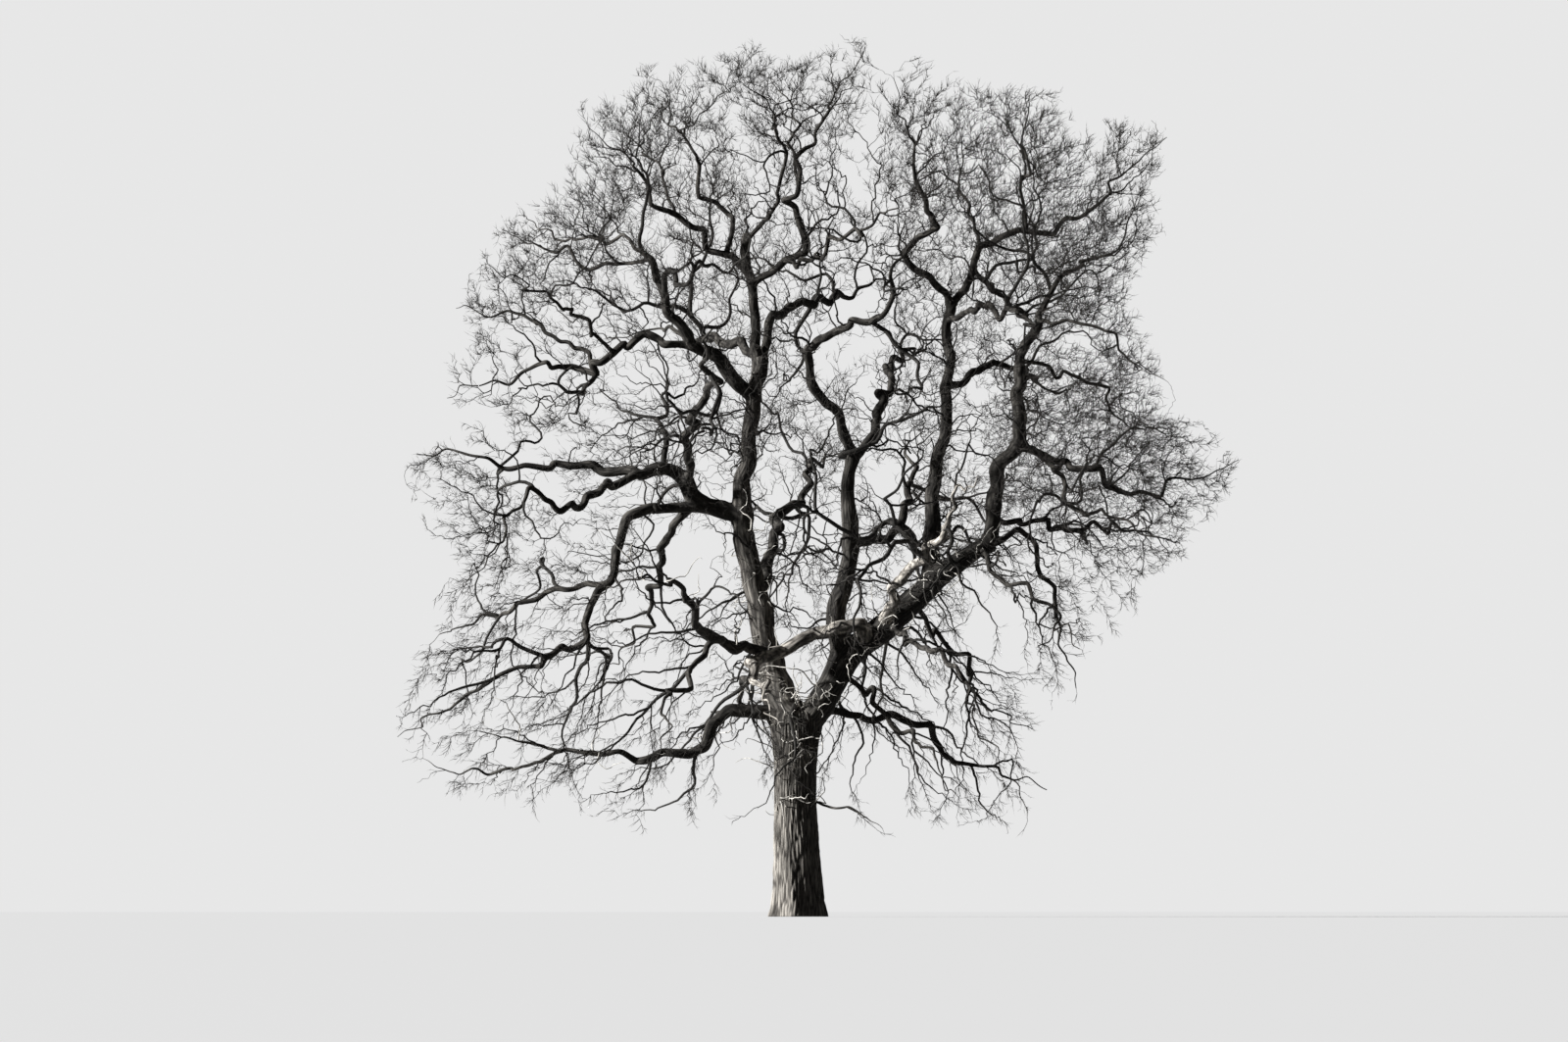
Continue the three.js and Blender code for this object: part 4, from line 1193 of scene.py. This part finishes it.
twigLook = {
    # the colour, and the scale of its mottling
    # the sprouts: pale young shoots, coloured paler still as painted light, so that they look sunlit
    "sprout": ((0.74, 0.71, 0.65), 9),
    # painted shade, in part: the branches, shoots and twigs are coloured near black, darker than their own
    # bark, to stand in for their shade
    "branch": ((0.028, 0.026, 0.023), 14),
    "branchlet": ((0.028, 0.025, 0.022), 14),
    "shoot": ((0.027, 0.024, 0.021), 14),
    "twig": ((0.034, 0.03, 0.026), 6),
}
twigSurface = {
    "surface": {"Roughness": 0.8, "Specular IOR Level": 0.3},
    "between": (0.35, 0.68),     # where the mottling is darkest and palest
    "shades": (0.6, 1.5),        # and how dark and pale it is
    "detail": 3,
}


def twigMaterial(kind):
    look = twigSurface
    colour, scale = twigLook[kind]
    material, tree, shader = newMaterial(kind + "Bark", look["surface"])
    place = addNode(tree, "ShaderNodeTexCoord")
    mottle = addNode(tree, "ShaderNodeTexNoise",
                     {"Vector": place.outputs["Object"], "Scale": scale, "Detail": look["detail"]})
    paint = colourRamp(tree, mottle.outputs["Fac"], look["between"], (colour, colour), look["shades"])
    setInputs(tree, shader, {"Base Color": paint})
    return material


def lineMesh(name, rows, thick, starts, sides):
    # every line as a tapering tube that ends in a point
    count = len(rows)
    ends = np.append(starts[1:], count) - 1
    step = np.diff(rows, axis=0)
    into = np.vstack([step[:1], step])
    onward = np.vstack([step, step[-1:]])
    into[starts] = onward[starts]
    onward[ends] = into[ends]
    along = unit(unit(into) + unit(onward))
    side = np.zeros_like(rows)
    last = draw.normal(0, 1, (len(starts), 3))
    for k in range(int((ends - starts).max()) + 1):
        some = np.flatnonzero(starts + k <= ends)
        at = starts[some] + k
        flat = last[some] - along[at] * np.sum(last[some] * along[at], axis=1, keepdims=True)
        last[some] = unit(flat)
        side[at] = last[some]
    out = directionsRound(side, np.cross(along, side), fullTurn(sides))
    ringed = np.ones(count, bool)
    ringed[ends] = False
    size = np.where(ringed, sides, 1)
    first = firstOf(size)
    spots = np.empty((size.sum(), 3))
    spots[first[ends]] = rows[ends]
    slots = first[ringed][:, None] + np.arange(sides)
    spots[slots] = rows[ringed][:, None] + out[ringed] * thick[ringed][:, None, None]
    ring = np.arange(sides)
    after = (ring + 1) % sides
    tube = np.flatnonzero(ringed & np.append(ringed[1:], False))
    low, high = first[tube][:, None], first[tube + 1][:, None]
    quads = np.stack([low + ring, low + after, high + after, high + ring], axis=-1).reshape(-1, 4)
    low, point = first[ends - 1][:, None], np.repeat(first[ends][:, None], sides, axis=1)
    tips = np.stack([low + ring, low + after, point], axis=-1).reshape(-1, 3)
    feet = first[starts][:, None] + ring[::-1]
    faces = np.concatenate([quads.ravel(), tips.ravel(), feet.ravel()])
    sizes = np.concatenate([np.full(len(quads), 4), np.full(len(tips), 3), np.full(len(feet), sides)])
    return meshPiece(name, spots, faces, sizes)


def someLines(rows, thick, starts, some):
    # only the lines with these numbers
    ends = np.append(starts[1:], len(rows))
    index = np.concatenate([np.arange(starts[i], ends[i]) for i in some])
    return rows[index], thick[index], firstOf((ends - starts)[some])


def linePieces(name, rows, thick, starts, sides, material):
    # splits the lines by the side of the tree they grow on, so that no piece is too heavy
    ends = np.append(starts[1:], len(rows))
    weight = (ends - starts) * sides * 2
    turn = np.arctan2(rows[starts, 1], rows[starts, 0] - crown["middle"][0])
    order = np.argsort(turn, kind="stable")
    share = np.cumsum(weight[order])
    pieces = max(1, math.ceil(share[-1] / pieceTriangles))
    part = np.minimum((share - 1) * pieces // share[-1], pieces - 1)
    for number in range(pieces):
        some = np.sort(order[part == number])
        piece = lineMesh(f"{name}_{number + 1}", *someLines(rows, thick, starts, some), sides)
        piece.data.materials.append(material)
        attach(piece, "root")
        print(piece.name, len(some), "lines")


def pathPieces(name, paths, radii, sides, material):
    # the same for paths that all have one number of points
    starts = np.arange(len(paths)) * paths.shape[1]
    linePieces(name, paths.reshape(-1, 3), radii.ravel(), starts, sides, material)


print("Making the branch and twig meshes")
base = thick[starts]
for kind, (thinner, thicker, sides) in woodKinds.items():
    some = np.flatnonzero((base > thinner) & (base <= thicker))
    linePieces(kind, *someLines(rows, thick, starts, some), sides, twigMaterial(kind))
twigBark = twigMaterial("twig")
pathPieces("sprout", *growSprouts(), sprouts["sides"], twigMaterial("sprout"))
pathPieces("twig", twigPath, twigRadius, twigs["sides"], twigBark)
pathPieces("spur", spurPath, spurRadius, spurs["sides"], twigBark)


# the floor, the light and the camera

studio = {
    "floor": 2400.0,
    "floorCells": 8,
    "floorAt": (0, 0, -0.004),
    "floorPaint": {"Base Color": (0.85, 0.85, 0.85, 1), "Roughness": 1},
    "backdrop": 0.8,
    "ambient": 0.03,
    "sun": 7.8,
    "sunAngle": 5,          # softness, in degrees
    "sunFrom": (-0.94, -0.17, 0.36),
    "sunAt": (-30, -8, 12),
    "lens": 160,
    "sensor": 36,
    "farthest": 3000,
    "cameraAt": (-0.34, -160, 0.12),
    "lookAt": (-0.34, 0, 9.08),
}

print("Setting the floor, the light and the camera")
bpy.ops.object.select_all(action="DESELECT")
bpy.ops.mesh.primitive_grid_add(x_subdivisions=studio["floorCells"], y_subdivisions=studio["floorCells"],
                                size=studio["floor"], location=studio["floorAt"])
floor = bpy.context.object
floor.name = "floor"
floor.data.materials.append(newMaterial("paleFloor", studio["floorPaint"])[0])
floor.visible_diffuse = False    # no light is thrown back up, so the shaded bark stays dark

world = bpy.data.worlds.new("paleBackdrop")
world.use_nodes = True
bpy.context.scene.world = world
tree = world.node_tree
seen = addNode(tree, "ShaderNodeLightPath")
tone = addNode(tree, "ShaderNodeMapRange", {"Value": seen.outputs["Is Camera Ray"],
                                            "To Min": studio["ambient"], "To Max": studio["backdrop"]})
setInputs(tree, tree.nodes["Background"], {"Color": (1, 1, 1, 1), "Strength": tone.outputs[0]})

bpy.ops.object.light_add(type="SUN", location=studio["sunAt"])
sun = bpy.context.object
sun.data.energy = studio["sun"]
sun.data.angle = math.radians(studio["sunAngle"])
sun.rotation_euler = Vector(studio["sunFrom"]).to_track_quat("Z", "Y").to_euler()

bpy.ops.object.camera_add(location=studio["cameraAt"])
camera = bpy.context.object
camera.data.lens = studio["lens"]
camera.data.sensor_width = studio["sensor"]
camera.data.clip_end = studio["farthest"]
toTree = Vector(studio["lookAt"]) - Vector(studio["cameraAt"])
camera.rotation_euler = toTree.to_track_quat("-Z", "Y").to_euler()
bpy.context.scene.camera = camera
bpy.context.scene.view_settings.view_transform = "Standard"
